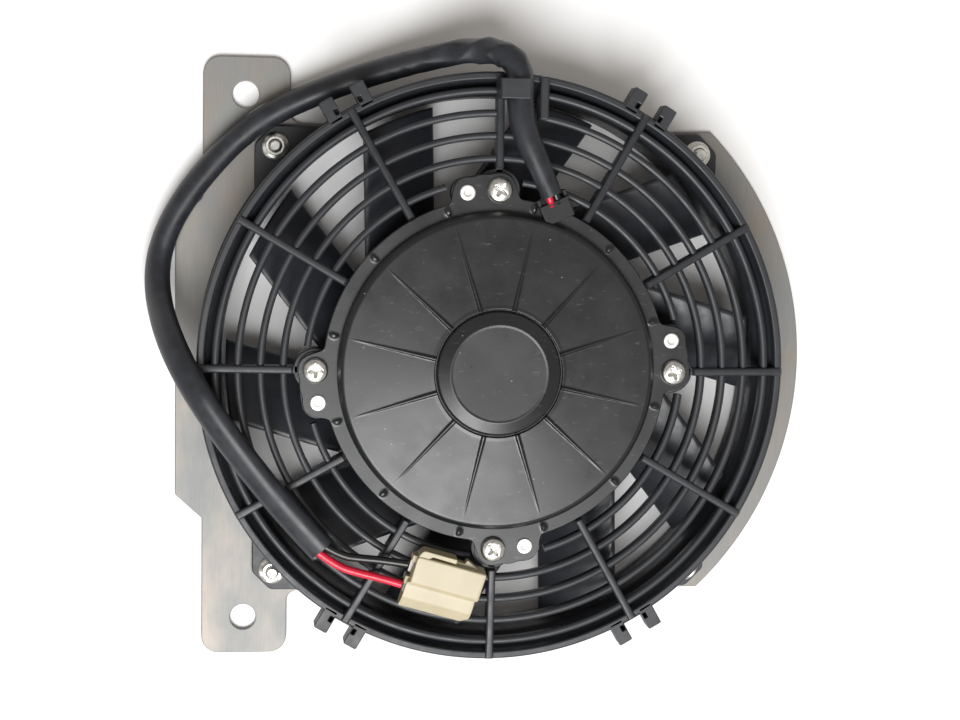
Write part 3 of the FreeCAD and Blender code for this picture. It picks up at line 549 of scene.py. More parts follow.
def two_tone(name, dark, light, metallic, rough, blotch, wear=None, grain=None,
             bump=(0.2, 0.05), **sockets):
    """A finish whose colour drifts from dark to light with one noise, given by blotch. Wear is
    the roughness at the noise's two ends, and grain a finer noise for the bump, if it has one."""
    material, tree, shader, place = started(name, dark, metallic, rough, **sockets)
    if tree is None:
        return material
    value = noise(tree, place, *blotch)
    tinted(tree, shader, mapped(tree, value, 0.0, 1.0), dark, light)
    if wear:
        tree.links.new(mapped(tree, value, *wear), shader.inputs["Roughness"])
    bumped(tree, shader, noise(tree, place, *grain) if grain else value, *bump)
    return material


def moulded_polypropylene(name, base, rough=0.42):
    """Black glass-filled polypropylene from a lightly sparked mould: a satin skin with a
    fine, uneven grain and a faint greyish bloom where it was handled."""
    material, tree, shader, place = started(name, base, 0.0, rough)
    if tree is None:
        return material
    bloom = noise(tree, place, 28.0, 4.0)
    tinted(tree, shader, mapped(tree, bloom, 0.0, 1.0), shaded(base, 0.85), shaded(base, 1.35))
    wear = noise(tree, place, 5.0, 5.0)
    tree.links.new(mapped(tree, wear, rough - 0.07, rough + 0.1), shader.inputs["Roughness"])
    # The real grain is about 0.1 mm and is drawn at 0.6 mm so that it shows.
    bumped(tree, shader, noise(tree, place, 0.6, 2.0), 0.18, 0.05)
    return material


def coated_steel(base):
    """Pressed steel with a black electrophoretic coat: smooth and semi-gloss, with long
    soft undulations from the press, dust specks and a few pale scuffs."""
    material, tree, shader, place = started("coated_pressed_steel", base, 0.0, 0.33,
                                            Coat_Weight=0.25, Coat_Roughness=0.3)
    if tree is None:
        return material
    dust = specks(tree, place, 9.0, 0.035)
    scuff = mapped(tree, noise(tree, place, 6.0, 8.0, (1.0, 3.0, 1.0), 0.75), 0.0, 0.35, 0.60, 0.72)
    marks = add_node(tree, "ShaderNodeMath", {0: dust, 1: scuff}, operation="MAXIMUM")
    tinted(tree, shader, marks.outputs[0], base, linear("#8a8c8e"))
    wear = noise(tree, place, 14.0, 4.0)
    tree.links.new(mapped(tree, wear, 0.27, 0.41), shader.inputs["Roughness"])
    bumped(tree, shader, noise(tree, place, 1.2, 3.0), 0.10, 0.06)
    return material


def galvanised_sheet(base):
    """Bare galvanised steel sheet, rolled and lightly brushed: cloudy patches of warmer and
    cooler grey a few centimetres across, faint straight grain, and small pale scratches."""
    material, tree, shader, place = started("brushed_galvanised_sheet", base, 0.75, 0.45)
    if tree is None:
        return material
    cloud = mapped(tree, noise(tree, place, 26.0, 5.0, (1.0, 0.55, 1.0), 0.62), 0.0, 1.0, 0.36, 0.64)
    tint = add_node(tree, "ShaderNodeMix", {"Factor": cloud, 6: (*base[:3], 1.0),
                                            7: linear("#868888")}, data_type="RGBA")
    grain = noise(tree, place, 0.7, 3.0, (1.0, 0.04, 1.0), 0.7)
    scratch = mapped(tree, noise(tree, place, 2.4, 6.0, (1.0, 0.12, 1.0), 0.8), 0.0, 0.5, 0.66, 0.74)
    both = add_node(tree, "ShaderNodeMath", {0: mapped(tree, grain, 0.0, 0.10, 0.35, 0.65),
                                             1: scratch}, operation="ADD")
    lit = add_node(tree, "ShaderNodeMix", {"Factor": both.outputs[0], 6: tint.outputs[2],
                                           7: linear("#b0ada8")}, data_type="RGBA")
    tree.links.new(lit.outputs[2], shader.inputs["Base Color"])
    tree.links.new(mapped(tree, cloud, 0.50, 0.62, 0.0, 1.0), shader.inputs["Roughness"])
    bumped(tree, shader, grain, 0.12, 0.03)
    return material


def plated_fastener_steel():
    """Zinc-plated steel: bright, slightly uneven, with a cold-headed skin."""
    return two_tone("zinc_plated_steel", linear("#cfcfca"), linear("#f4f4f0"), 1.0, 0.24,
                    (1.6, 4.0), wear=(0.30, 0.42), grain=(1.5, 2.0), bump=(0.05, 0.04))


def peened_rivet_steel():
    """Soft white-zinc rivet steel: a pale, matt, lightly hammered face."""
    return two_tone("peened_rivet_steel", linear("#d8d6d2"), linear("#f6f5f2"), 0.75, 0.42,
                    (2.2, 4.0), grain=(1.0, 2.0), bump=(0.3, 0.08))


def vinyl_sleeve():
    """Extruded black vinyl tube: satin, with creases that catch grey light along it."""
    base = linear("#222429")
    return two_tone("extruded_vinyl_sleeve", shaded(base, 0.8), shaded(base, 1.5), 0.0, 0.40,
                    (7.0, 5.0, (1.0, 1.0, 1.6), 0.6), wear=(0.34, 0.50), bump=(0.25, 0.3))


def wire_insulation(name, base):
    """Extruded PVC insulation: smooth and glossy, faintly wavy along its length."""
    return two_tone(name, shaded(base, 0.9), shaded(base, 1.12), 0.0, 0.28, (4.0, 2.0),
                    bump=(0.2, 0.15))


def red_pvc(finishes):
    return wire_insulation("red_pvc_insulation", finishes.red)


def black_pvc():
    return wire_insulation("black_pvc_insulation", linear("#151617"))


def undyed_nylon(base):
    """Undyed moulded nylon: cream, faintly see-through, with a soft sheen."""
    material = two_tone("undyed_moulded_nylon", shaded(base, 0.93), shaded(base, 1.04), 0.0, 0.38,
                        (9.0, 3.0), grain=(0.8, 2.0), bump=(0.1, 0.05),
                        Subsurface_Weight=0.25, Subsurface_Scale=1.5 * MM)
    shader = material.node_tree.nodes["Principled BSDF"]
    shader.inputs["Subsurface Radius"].default_value = (1.0, 0.7, 0.4)
    return material


def moulded_rubber():
    """Black moulded rubber: matt, with a fine powdery grain."""
    base = linear("#171718")
    return two_tone("moulded_rubber", base, shaded(base, 1.6), 0.0, 0.62, (3.0, 4.0),
                    grain=(0.5, 2.0), bump=(0.25, 0.08))


def metal_stock(name, dark, light, rough, grain_mm, stretch=(1.0, 1.0, 1.0), metallic=1.0):
    """A worked metal or mineral part: two tones of its own colour along its grain."""
    return two_tone(name, linear(dark), linear(light), metallic, rough, (grain_mm, 3.0, stretch),
                    wear=(rough - 0.06, rough + 0.08))


def carried_over(node, material):
    """A CAD node that stays as it is and takes a finish."""
    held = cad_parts[node]
    held.data.materials.clear()
    held.data.materials.append(material)


# --- stage ------------------------------------------------------------------------
CAMERA_AT = (-0.1016, 0.0827, 0.7768)
CAMERA_TURN = (-6.153, -7.223, 1.135)
CAMERA_LENS = 67.02
FLOOR_HALF = 3.0
ROOM_STRENGTH = 0.36
KEY_AT, KEY_SIZE, KEY_POWER = (-0.187, -0.88, 1.559), 1.3, 44.2
FILL_AT, FILL_SIZE, FILL_POWER = (0.9, 0.7, 1.9), 1.6, 0.6


def soft_light(name, at, size, power):
    """A round area light that points at the origin."""
    lamp = bpy.data.lights.new(name, "AREA")
    lamp.shape = "DISK"
    lamp.size = size
    lamp.energy = power
    held = bpy.data.objects.new(name, lamp)
    held.location = at
    held.rotation_mode = "QUATERNION"
    held.rotation_quaternion = (-Vector(at)).to_track_quat("-Z", "Y")
    bpy.context.scene.collection.objects.link(held)


def white_table():
    """A white laminate table top: even, almost matt."""
    material, tree, shader, place = started("white_laminate_table", linear("#f4f4f4"), 0.0, 0.6)
    tinted(tree, shader, noise(tree, place, 60.0, 3.0), linear("#f1f1f2"), linear("#f8f8f8"))
    return material


class COOLER_OT_stage(bpy.types.Operator):
    """Floor, soft lights and camera"""
    bl_idname = "cooler.stage"
    bl_label = "Stage"

    def execute(self, context):
        scene = context.scene
        scene.view_settings.view_transform = "Standard"
        world = bpy.data.worlds.new("soft_room")
        world.use_nodes = True
        room = world.node_tree.nodes["Background"]
        room.inputs["Color"].default_value = linear("#fff8ef")
        room.inputs["Strength"].default_value = ROOM_STRENGTH
        scene.world = world
        half, z = FLOOR_HALF, float(PLATE_LOW[2]) * MM - 0.0002
        mesh = bpy.data.meshes.new("table_top")
        corners = [(-half, -half, z), (half, -half, z), (half, half, z), (-half, half, z)]
        mesh.from_pydata(corners, [], [(0, 1, 2, 3)])
        mesh.materials.append(white_table())
        table = bpy.data.objects.new("table_top", mesh)
        scene.collection.objects.link(table)
        soft_light("key_light", KEY_AT, KEY_SIZE, KEY_POWER)
        soft_light("fill_light", FILL_AT, FILL_SIZE, FILL_POWER)
        lens = bpy.data.cameras.new("camera")
        lens.lens = CAMERA_LENS
        lens.clip_start, lens.clip_end = 0.01, 20.0
        camera = bpy.data.objects.new("camera", lens)
        camera.location = CAMERA_AT
        camera.rotation_euler = tuple(math.radians(a) for a in CAMERA_TURN)
        scene.collection.objects.link(camera)
        scene.camera = camera
        return {"FINISHED"}


# --- leads ------------------------------------------------------------------------
def lead_line(name, route, resolution):
    """Points along a lead: a NURBS of order 3 whose control points are its route."""
    curve = bpy.data.curves.new(name + "_line", "CURVE")
    curve.dimensions = "3D"
    spline = curve.splines.new("NURBS")
    spline.points.add(len(route) - 1)
    for point, place in zip(spline.points, route):
        point.co = (*place, 1.0)
    spline.order_u = 3
    spline.use_endpoint_u = True
    spline.resolution_u = resolution
    held = bpy.data.objects.new(name + "_line", curve)
    bpy.context.scene.collection.objects.link(held)
    mesh = bpy.data.meshes.new_from_object(held)
    points = np.array([v.co for v in mesh.vertices], float)
    bpy.data.objects.remove(held)
    bpy.data.curves.remove(curve)
    bpy.data.meshes.remove(mesh)
    return points


def carried_frames(line):
    """Two directions square to the line at each point, carried along it without twist."""
    way = unit(np.gradient(line, axis=0))
    side = np.cross(way[0], (0.0, 0.0, 1.0))
    sides = []
    for along in way:
        side = side - along * float(side @ along)
        side = side / np.linalg.norm(side)
        sides.append(side)
    sides = np.array(sides)
    return sides, np.cross(way, sides)


def lead_tube(line, radius, sides_round, wrinkle=None, recess=0):
    """A tube on a line: the radius at each station and angle, times the two carried
    directions. A recess draws each end back into itself by that many stations."""
    sides, ups = carried_frames(line)
    angle = around(sides_round)
    stations = np.arange(len(line))
    reach = np.full((len(line), sides_round), radius)
    if wrinkle is not None:
        reach = reach * wrinkle(line, angle)
    if recess:
        inner = radius * 0.8
        first, last = stations[:recess][::-1], stations[-recess:][::-1]
        stations = np.concatenate([first, stations, last])
        narrow = np.full((recess, sides_round), inner)
        reach = np.concatenate([narrow, reach, narrow])
    ring = (sides[stations, None] * np.cos(angle)[None, :, None]
            + ups[stations, None] * np.sin(angle)[None, :, None])
    rows = line[stations, None] + ring * reach[..., None]
    return shell(rows / MM)


def along_line(line):
    """The distance run along a line at each of its points."""
    steps = np.linalg.norm(np.diff(line, axis=0), axis=-1)
    return np.concatenate([[0.0], np.cumsum(steps)])


FOLD_AT = 0.078
FOLD_REACH = 0.030
LYING_FROM = 0.27
LYING_BLEND = 0.012


def sleeve_wrinkles(line, angle):
    """How far the sleeve's skin stands from round: it is flattened where it lies down, has
    folds (one less twice the size of a sine) that cross it at the tight bend, and long
    shallow dents that wander round it; it is drawn in where it leaves the motor."""
    run = along_line(line)[:, None]
    turn = angle[None]
    fold = np.exp(-((run - FOLD_AT) / FOLD_REACH) ** 2)
    lying = 1 / (1 + np.exp(-(run - LYING_FROM) / LYING_BLEND))
    flat = (0.05 + 0.14 * lying) * np.cos(2 * turn + 0.3 * np.sin(run * 14.0))
    first = 1 - 2 * np.abs(np.sin(run * 150.0 + 1.4 * turn + 1.7 * np.sin(run * 90.0)))
    second = 1 - 2 * np.abs(np.sin(run * 260.0 - 2.0 * turn + 2.3 * np.sin(run * 110.0)))
    dents = np.sin(run * 96.0 + 2.0 * np.sin(turn)) * np.cos(turn + run * 41.0)
    drawn_in = 1.0 - 0.20 * np.exp(-(run / 0.018) ** 2)
    return drawn_in * (1.0 + flat + fold * (0.055 * first + 0.035 * second) + 0.018 * dents)


class COOLER_OT_leads(bpy.types.Operator):
    """The sleeve from the motor to the connector, and the two wires that leave it"""
    bl_idname = "cooler.leads"
    bl_label = "Leads"

    def execute(self, context):
        sizes, finishes = context.scene.lead_sizes, context.scene.finishes
        sleeve_line = lead_line("cable_sleeve", SLEEVE_ROUTE, 20)
        red_line = lead_line("red_wire", RED_ROUTE, 14)
        black_line = lead_line("black_wire", BLACK_ROUTE, 14)
        tube = lead_tube(sleeve_line, sizes.sleeve_diameter / 2, 40, sleeve_wrinkles, 16)
        sleeve = piece("lead_sleeve", [tube], vinyl_sleeve(), stands_for=("cable_sleeve",),
                       sharp=60.0)
        red = piece("red_lead", [lead_tube(red_line, sizes.wire_diameter / 2, 24)],
                    red_pvc(finishes),
                    stands_for=("red_wire",))
        black = piece("black_lead", [lead_tube(black_line, sizes.wire_diameter / 2, 24)],
                      black_pvc(),
                      stands_for=("black_wire",))
        shell_parts = connector_body()
        body = piece("connector_body", shell_parts, undyed_nylon(finishes.nylon),
                     stands_for=("connector_housing",))
        carried_over("connector_terminals", tinned_strip())
        return {"FINISHED"}


def tinned_strip():
    """Tin-plated brass strip: dull grey, with drawing lines along it."""
    return metal_stock("tin_plated_strip", "#6f6d68", "#8f8d88", 0.42, 1.5, (0.1, 1.0, 1.0))


def stamped_brass():
    """Stamped brass strip: warm, smooth, with drawing lines along it."""
    return metal_stock("stamped_brass_strip", "#b08a45", "#d8b56a", 0.28, 1.5, (0.1, 1.0, 1.0))


def connector_decks():
    """The housing as a section carried along X. The section has a high deck, a ramp, a low
    deck and a slope at its side; the ends lie further out at some of its y than at others,
    which gives the short high deck, its round corner and the cut corner of the low one."""
    x0, x1 = -PLUG_L / 2, PLUG_L / 2
    y0, y1 = -PLUG_W / 2, PLUG_W / 2
    shelf = PLUG_H - PLUG_STEP
    section = resampled(rounded([
        (y0, 0.4, 0.4), (y1, 0.4, 0.4), (y1, PLUG_H, 0.7), (0.7, PLUG_H, 0.9), (-0.9, shelf, 0.8),
        (y0 + PLUG_SLOPE_W, shelf - 0.3, 3.2), (y0, PLUG_SIDE_Z, 0.9)], closed=False), 0.7)
    share = np.concatenate([[0.0, 0.004, 0.015], np.linspace(0.05, 0.95, 19), [0.985, 0.996, 1.0]])
    inward = np.interp(share, [0.0, 0.004, 0.015, 0.985, 0.996, 1.0], [0.4, 0.12, 0, 0, 0.12, 0.4])
    middle = section.mean(0)
    rows = []
    for part, shrink in zip(share, inward):
        loop = section + unit(middle - section) * shrink
        y, z = loop[:, 0], loop[:, 1]
        turned_in = np.clip((y - y1 + 1.8) / 1.8, 0.0, 1.0)
        left = x0 + 1.3 * (y > 0.2) + 1.4 * (1 - np.sqrt(1 - turned_in ** 2))
        cut = np.clip(1 - (y - y0) / PLUG_CUT[1], 0.0, 1.0)
        right = x1 - 0.9 * (y < -0.6) - PLUG_CUT[0] * cut
        rows.append(np.column_stack([left + (right - left) * part, y, z]))
    return shell(np.array(rows))


def connector_body():
    """The two decks, the latch bar that stands clear of the long side, the low wedge at its
    end, and the sleeves round the wires."""
    x0, y1 = -PLUG_L / 2, PLUG_W / 2
    shelf = PLUG_H - PLUG_STEP
    latch, wedge = (slab([rounded([(x0 + x, y1 + y, radius) for x, y, radius in plan])], *heights)
                    for plan, heights in ((LATCH_PLAN, (3.0, PLUG_H - 0.5, 0.35)),
                                          (WEDGE_PLAN, (3.4, shelf - 2.4, 0.3))))
    collars = [slab([rectangle(x0 + low, x0 + 2.0, y, y + wide, 0.5)], 1.0, top, 0.4)
               for low, y, wide, top in ((-0.4, y1 - 4.0, 3.0, shelf - 2.4),
                                         (-1.0, -1.6, 3.4, shelf - 1.6))]
    parts = [connector_decks(), latch, wedge] + collars
    return [moved(part, turn=PLUG_TURN, tilt=PLUG_TILT, to=PLUG_C) for part in parts]


# --- plate and its hardware ---------------------------------------------------------
def plate_loops():
    """The plate's outline, then its throat, two bolt holes and four stud seats."""
    arc_r = PLATE_HIGH[0]
    half_turn = math.asin(BODY_HALF_Y / arc_r)
    arc = [(arc_r * math.cos(a), arc_r * math.sin(a), 0.0)
           for a in np.linspace(-half_turn, half_turn, 64)]
    web_turn = math.asin(BODY_HALF_Y / WEB_R)
    web = [(WEB_R * math.cos(a), WEB_R * math.sin(a), 0.0)
           for a in np.linspace(web_turn, math.pi - web_turn, 48)]
    top = web + [
           (STRIP_X1, BODY_HALF_Y, STRIP_FILLET_R),
           (STRIP_X1, PLATE_HIGH[1], STRIP_CORNER_R), (STRIP_X0, PLATE_HIGH[1], STRIP_CORNER_R),
           (STRIP_X0, BUMP_HALF_Y + BUMP_CHAMFER_Y, 1.5), (PLATE_LOW[0], BUMP_HALF_Y, 1.5)]
    bottom = [(x, -y, r) for x, y, r in top[::-1]]
    loops = [rounded(arc + top + bottom), circle(0, 0, THROAT_R, 200)]
    loops += [circle(HOLE_X, side * HOLE_Y, HOLE_R) for side in (1, -1)]
    loops += [circle(x, y, STUD_HEAD_R, 24) for x, y in stud_places()]
    return loops


def stud_places():
    """The centres of the four studs, at the corners of a square."""
    return [(sx * STUD_XY, sy * STUD_XY) for sx in (1, -1) for sy in (1, -1)]


class COOLER_OT_plate(bpy.types.Operator):
    """The flat mounting plate"""
    bl_idname = "cooler.plate"
    bl_label = "Mounting plate"

    def execute(self, context):
        sheet = slab(plate_loops(), float(PLATE_LOW[2]), float(PLATE_T), PLATE_EDGE)
        piece("sheet_plate", [sheet], galvanised_sheet(context.scene.finishes.plate),
              stands_for=("mounting_plate",))
        return {"FINISHED"}


def nut(x, y):
    """A flanged hexagon nut: the six flats cut by a cone at the top, then the bore."""
    angle = around(72)
    flat = NUT_AF / 2 / np.cos((angle - math.radians(45)) % (TURN / 6) - TURN / 12)
    z0, z1 = NUT_LOW[2], NUT_HIGH[2]
    levels = ((STUD_R + 0.1, z0), (NUT_FLANGE_R - 0.2, z0), (NUT_FLANGE_R, z0 + 0.2),
              (NUT_FLANGE_R, z0 + 0.7), (NUT_FLANGE_R - 0.5, z0 + NUT_FLANGE_T),
              (PAST_FLATS_R, z0 + 1.5), (PAST_FLATS_R, z1 - 1.0), (NUT_CONE_R, z1 - 0.25),
              (NUT_TOP_R, z1), (STUD_R + 0.5, z1), (STUD_R + 0.1, z1 - 0.5))
    radius = np.stack([np.minimum(r, flat) if i > 4 else np.full_like(flat, r)
                       for i, (r, z) in enumerate(levels)])
    height = np.array([z for r, z in levels])[:, None] + 0 * radius
    return shell(spun(radius, angle, height) + np.array([x, y, 0.0]), closed=True)


def stud(x, y):
    """A stud: flush head, then a shank whose thread is a small wave along its height."""
    z0, z1 = STUD_LOW[2], STUD_HIGH[2]
    height = np.linspace(NUT_HIGH[2] - 1.0, z1 - 0.5, 24)
    wave = 1 + np.cos(height * TURN / THREAD_PITCH)
    thread = np.column_stack([STUD_R - THREAD_DEPTH * wave, height])
    foot = [(STUD_HEAD_R - 0.3, z0), (STUD_HEAD_R, z0 + 0.3), (STUD_HEAD_R, PLATE_T - 0.05),
            (STUD_R, PLATE_T - 0.05), (STUD_R, NUT_HIGH[2] - 1.2)]
    end = [(STUD_R - 0.7, z1), (STUD_R - 1.2, z1)]
    return disc(np.concatenate([foot, thread, end]), 32, (x, y))


class COOLER_OT_plate_hardware(bpy.types.Operator):
    """Studs pressed into the plate, and their flanged nuts"""
    bl_idname = "cooler.plate_hardware"
    bl_label = "Studs and nuts"

    def execute(self, context):
        steel = plated_fastener_steel()
        piece("hex_flange_nuts", [nut(x, y) for x, y in stud_places()], steel,
              stands_for=("flange_nuts",))
        piece("press_studs", [stud(x, y) for x, y in stud_places()], steel,
              stands_for=("plate_studs",))
        return {"FINISHED"}


# --- shroud -------------------------------------------------------------------------
def spoke_top(r):
    """The height of a spoke's top: a straight line that rises inwards from the rim."""
    return SPOKE_RIM_TOP + (RIM_R - r) * DISH_SLOPE


def tunnel_outline():
    """The (r, z) outline of the tunnel: base flange, wall, flare and rolled rim."""
    return rounded([
        (TUNNEL_R, PLATE_T, 0.3), (BASE_R, PLATE_T, 0.3), (BASE_R, BASE_TOP, 0.7),
        (WALL_R, BASE_TOP, 1.6), (WALL_R, WALL_TOP, 6.0), (RIM_R, FLARE_TOP, 2.5),
        (RIM_R, RIM_TOP, 1.1), (RIM_IN_R, RIM_TOP, 0.8), (RIM_IN_R - 0.5, RIM_IN_Z, 3.0),
        (TUNNEL_R, THROAT_TOP, 6.0)])


def ring_outline(radius, width):
    """The (r, z) outline of a grille ring: drafted sides and a full round top."""
    top = spoke_top(radius) - RING_DROP
    half = width / 2
    crown = np.radians(np.linspace(0, 180, 11))
    arch = np.column_stack([radius + half * np.cos(crown), top - half * 0.8 * (1 - np.sin(crown))])
    foot = [(radius - half + 0.3, top - RING_H), (radius + half - 0.3, top - RING_H)]
    return np.concatenate([foot, arch])


LUG_GAP = (-7.0, 16.4)
TROUGH_X = (1.6, 16.2)
TROUGH_RINGS = 2


def guard_rings(width):
    """Full rings, but for the innermost, which stops at the lugs, and the two outermost,
    which stop at the cable trough."""
    made = []
    for number, radius in enumerate(RING_R):
        outline = ring_outline(radius, width)
        if number < TROUGH_RINGS:
            start, stop = (90 - math.degrees(math.asin(x / radius)) for x in TROUGH_X)
            made.append(lathe(outline, 280, start, stop + 360))
        elif number == len(RING_R) - 1:
            for quarter in range(4):
                made.append(lathe(outline, 64, 90 * quarter + LUG_GAP[1],
                                  90 * quarter + 90 + LUG_GAP[0]))
        else:
            made.append(lathe(outline))
    return made


def guard_spokes(width):
    """Radial bars that rise towards the hub and end, a little wider, at the rim's edge; each
    has a low root that runs on under the motor's flange."""
    made = []
    for number in range(SPOKE_N):
        inner = HUB_R1 + 1.0 if number % 3 else SCREW_R + BOSS_R + 0.2
        r = np.array([inner, inner + 0.6, inner + 3.0, *SPOKE_STATIONS,
                      RIM_R - 0.8, RIM_R - 0.2, RIM_R + 0.05])
        widths = np.interp(r, [inner, 112.0, 118.0, RIM_R], [width, width, width + 0.1, width + 0.5])
        tops = spoke_top(r) - np.interp(r, [inner, inner + 0.6, RIM_R - 0.8, RIM_R - 0.2,
                                            RIM_R + 0.05], [0.8, 0.0, 0.0, 0.5, 1.4])
        bottoms = np.interp(r, [inner, inner + 6.0, RIM_R], [SPOKE_BOTTOM + 1.0, SPOKE_BOTTOM,
                                                             SPOKE_BOTTOM])
        path = np.column_stack([r, np.zeros_like(r)])
        made.append(moved(bar(path, widths, tops, bottoms), turn=30.0 * number))
        root_r = np.array([HUB_R0 + 1.0, HUB_R1, inner + 1.0])
        root = bar(np.column_stack([root_r, 0 * root_r]), [width] * 3, [HUB_TOP] * 3,
                   [HUB_BOTTOM, HUB_BOTTOM, SPOKE_BOTTOM + 0.8], crown=0.4)
        made.append(moved(root, turn=30.0 * number))
    return made


def hub_parts():
    """The hub ring under the motor's flange, and the bosses for the screws and rivets."""
    ring = rounded([(HUB_R0, HUB_BOTTOM, 0.4), (HUB_R1, HUB_BOTTOM, 0.4),
                    (HUB_R1, HUB_TOP, 0.5), (HUB_R0, HUB_TOP, 0.5)])
    parts = []
    for radius, low, around, swing in ((BOSS_R, SPOKE_BOTTOM, 64, 0),
                                       (RIVET_PAD_R, SPOKE_BOTTOM + 2, 48, RIVET_SWING)):
        outline = rounded([(0, low, 0), (radius, low, 0.5), (radius, HUB_TOP, 0.6),
                           (0, HUB_TOP, 0)], closed=False)
        parts.append(disc(outline, around, polar(SCREW_R, swing)[:2]))
    return [lathe(ring)] + spread(parts, 4)


def snap_hooks(width):
    """Pairs of square hooks outside the rim: a notched slab each, with a slot beside the
    spoke, and a thin strip along the rim that ties the pair together."""
    made = []
    for angle in HOOK_ANGLES:
        for side in (1, -1):
            y0, y1 = side * (HOOK_OFFSET - width / 2), side * (HOOK_OFFSET + width / 2)
            low, high = min(y0, y1), max(y0, y1)
            plan = rectangle(RIM_R - 2.5, RIM_R + HOOK_REACH, low, high, 0.8)
            slot_y = y0 + side * HOOK_SLOT_Y
            slot = rectangle(RIM_R + HOOK_SLOT_X[0], RIM_R + HOOK_SLOT_X[1],
                             slot_y - HOOK_SLOT_HALF, slot_y + HOOK_SLOT_HALF, 0.25)
            made.append(moved(slab([plan, slot], HOOK_HEAD_Z, RIM_TOP, 0.4), turn=angle))
            made.append(moved(slab([plan], *HOOK_FOOT_Z, 0.4), turn=angle))
        strip = slab([rectangle(RIM_R + HOOK_TIE_X[0], RIM_R + HOOK_TIE_X[1], -HOOK_OFFSET,
                                HOOK_OFFSET, 0.4)], HOOK_TIE_Z, RIM_TOP - 1.6, 0.35)
        made.append(moved(strip, turn=angle))
    return made


EAR_TIP = 6.72
EAR_TIP_HALF = 5.6
EAR_ROOT = 20.5


def nut_ears():
    """Flat triangular ears round the nuts: straight sides that meet the base flange."""
    reach = math.hypot(STUD_XY, STUD_XY)
    plan = rounded([(BASE_R - 8.0, -EAR_ROOT - 4, 0.5), (BASE_R - 2.6, -EAR_ROOT, 2.0),
                    (reach + EAR_TIP, -EAR_TIP_HALF, 3.6), (reach + EAR_TIP, EAR_TIP_HALF, 3.6),
                    (BASE_R - 2.6, EAR_ROOT, 2.0), (BASE_R - 8.0, EAR_ROOT + 4, 0.5)])
    flat = slab([plan, circle(reach, 0, STUD_R + 0.15, 28)], float(PLATE_T), BASE_TOP, 0.5)
    return [moved(flat, turn=45.0 + 90.0 * i) for i in range(4)]


CLIP_Y = (112.6, 120.8)
CLIP_X1 = 10.8
CLIP_Z, CLIP_T = 50.2, 2.0
CLIP_FOOT = 3.0
POST_X = (16.2, 20.0)
POST_Y0 = 104.5
POST_TOP = 41.5


def cable_clip(width):
    """The strap over the sleeve: an angle-shaped section carried along Y, and the post."""
    half = width / 2
    foot, top = RIM_TOP - CLIP_FOOT, CLIP_Z + CLIP_T
    section = rounded([(-half, foot, 0.3), (half, foot, 0.3), (half, CLIP_Z, 0.7),
                       (CLIP_X1, CLIP_Z, 0.5), (CLIP_X1, top, 0.6), (-half, top, 1.0)])
    strap = on_edge(slab([section], CLIP_Y[0], CLIP_Y[1], 0.35))
    post = slab([rectangle(*POST_X, POST_Y0, RIM_IN_R + 1.5, 0.8)], RIM_TOP - 6.0, POST_TOP, 0.8)
    return [strap, post]


class COOLER_OT_shroud(bpy.types.Operator):
    """The moulded shroud: tunnel, grille, hub, hooks, ears and cable clip"""
    bl_idname = "cooler.shroud"
    bl_label = "Shroud and guard"

    def execute(self, context):
        sizes = context.scene.guard_sizes
        width = sizes.spoke_width / MM
        plastic = moulded_polypropylene("moulded_polypropylene", context.scene.finishes.plastic)
        groups = {
            "shroud_tunnel": [lathe(tunnel_outline(), 320)],
            "guard_rings": guard_rings(sizes.ring_width / MM),
            "guard_spokes": guard_spokes(width),
            "guard_hub": hub_parts(),
            "snap_hooks": snap_hooks(sizes.hook_width / MM),
            "nut_ears": nut_ears(),
            "cable_clip": cable_clip(width),
        }
        for name, shells in groups.items():
            piece(name, shells, plastic, stands_for=("shroud",))
        return {"FINISHED"}


# --- motor --------------------------------------------------------------------------
def cover_profile():
    """The (r, z) profile of the cover's skin, from the cap's middle to the dome's foot and
    back along the inside."""
    outside = rounded([
        (0.0, CAP_TOP - 0.25, 0), (CAP_FLAT_R - 0.6, CAP_TOP - 0.12, 0.9),
        (CAP_FLAT_R + 0.4, CAP_TOP, 0.9), *CAP_SHOULDER, (CAP_R, CAP_GROOVE_Z, 0.15),
        (CAP_R + 0.15, DOME_TOP + DOME_RISE + 0.15, 0.3),
        (CAP_R + 1.8, DOME_TOP + DOME_RISE - 0.08, 1.0),
        (DOME_R - 1.9, DOME_TOP, 2.2), (DOME_R, DOME_TOP - 2.6, 1.2), (DOME_R, COVER_TOP - 0.4, 0.1),
        (DOME_R - SKIN_T, COVER_TOP - 0.4, 0.1), (DOME_R - SKIN_T, DOME_TOP - 2.8, 0.8),
        (DOME_R - 2.6, DOME_TOP - SKIN_T, 0.8), (CAP_IN_R[0], DOME_TOP + 0.4, 0.5),
        (CAP_IN_R[1], CAP_TOP - 2.4, 0.5), (CAP_FLAT_R - 0.5, CAP_TOP - SKIN_T, 0.5),
        (0.0, CAP_TOP - 1.75, 0)], closed=False)
    return resampled(outside, 2.6)


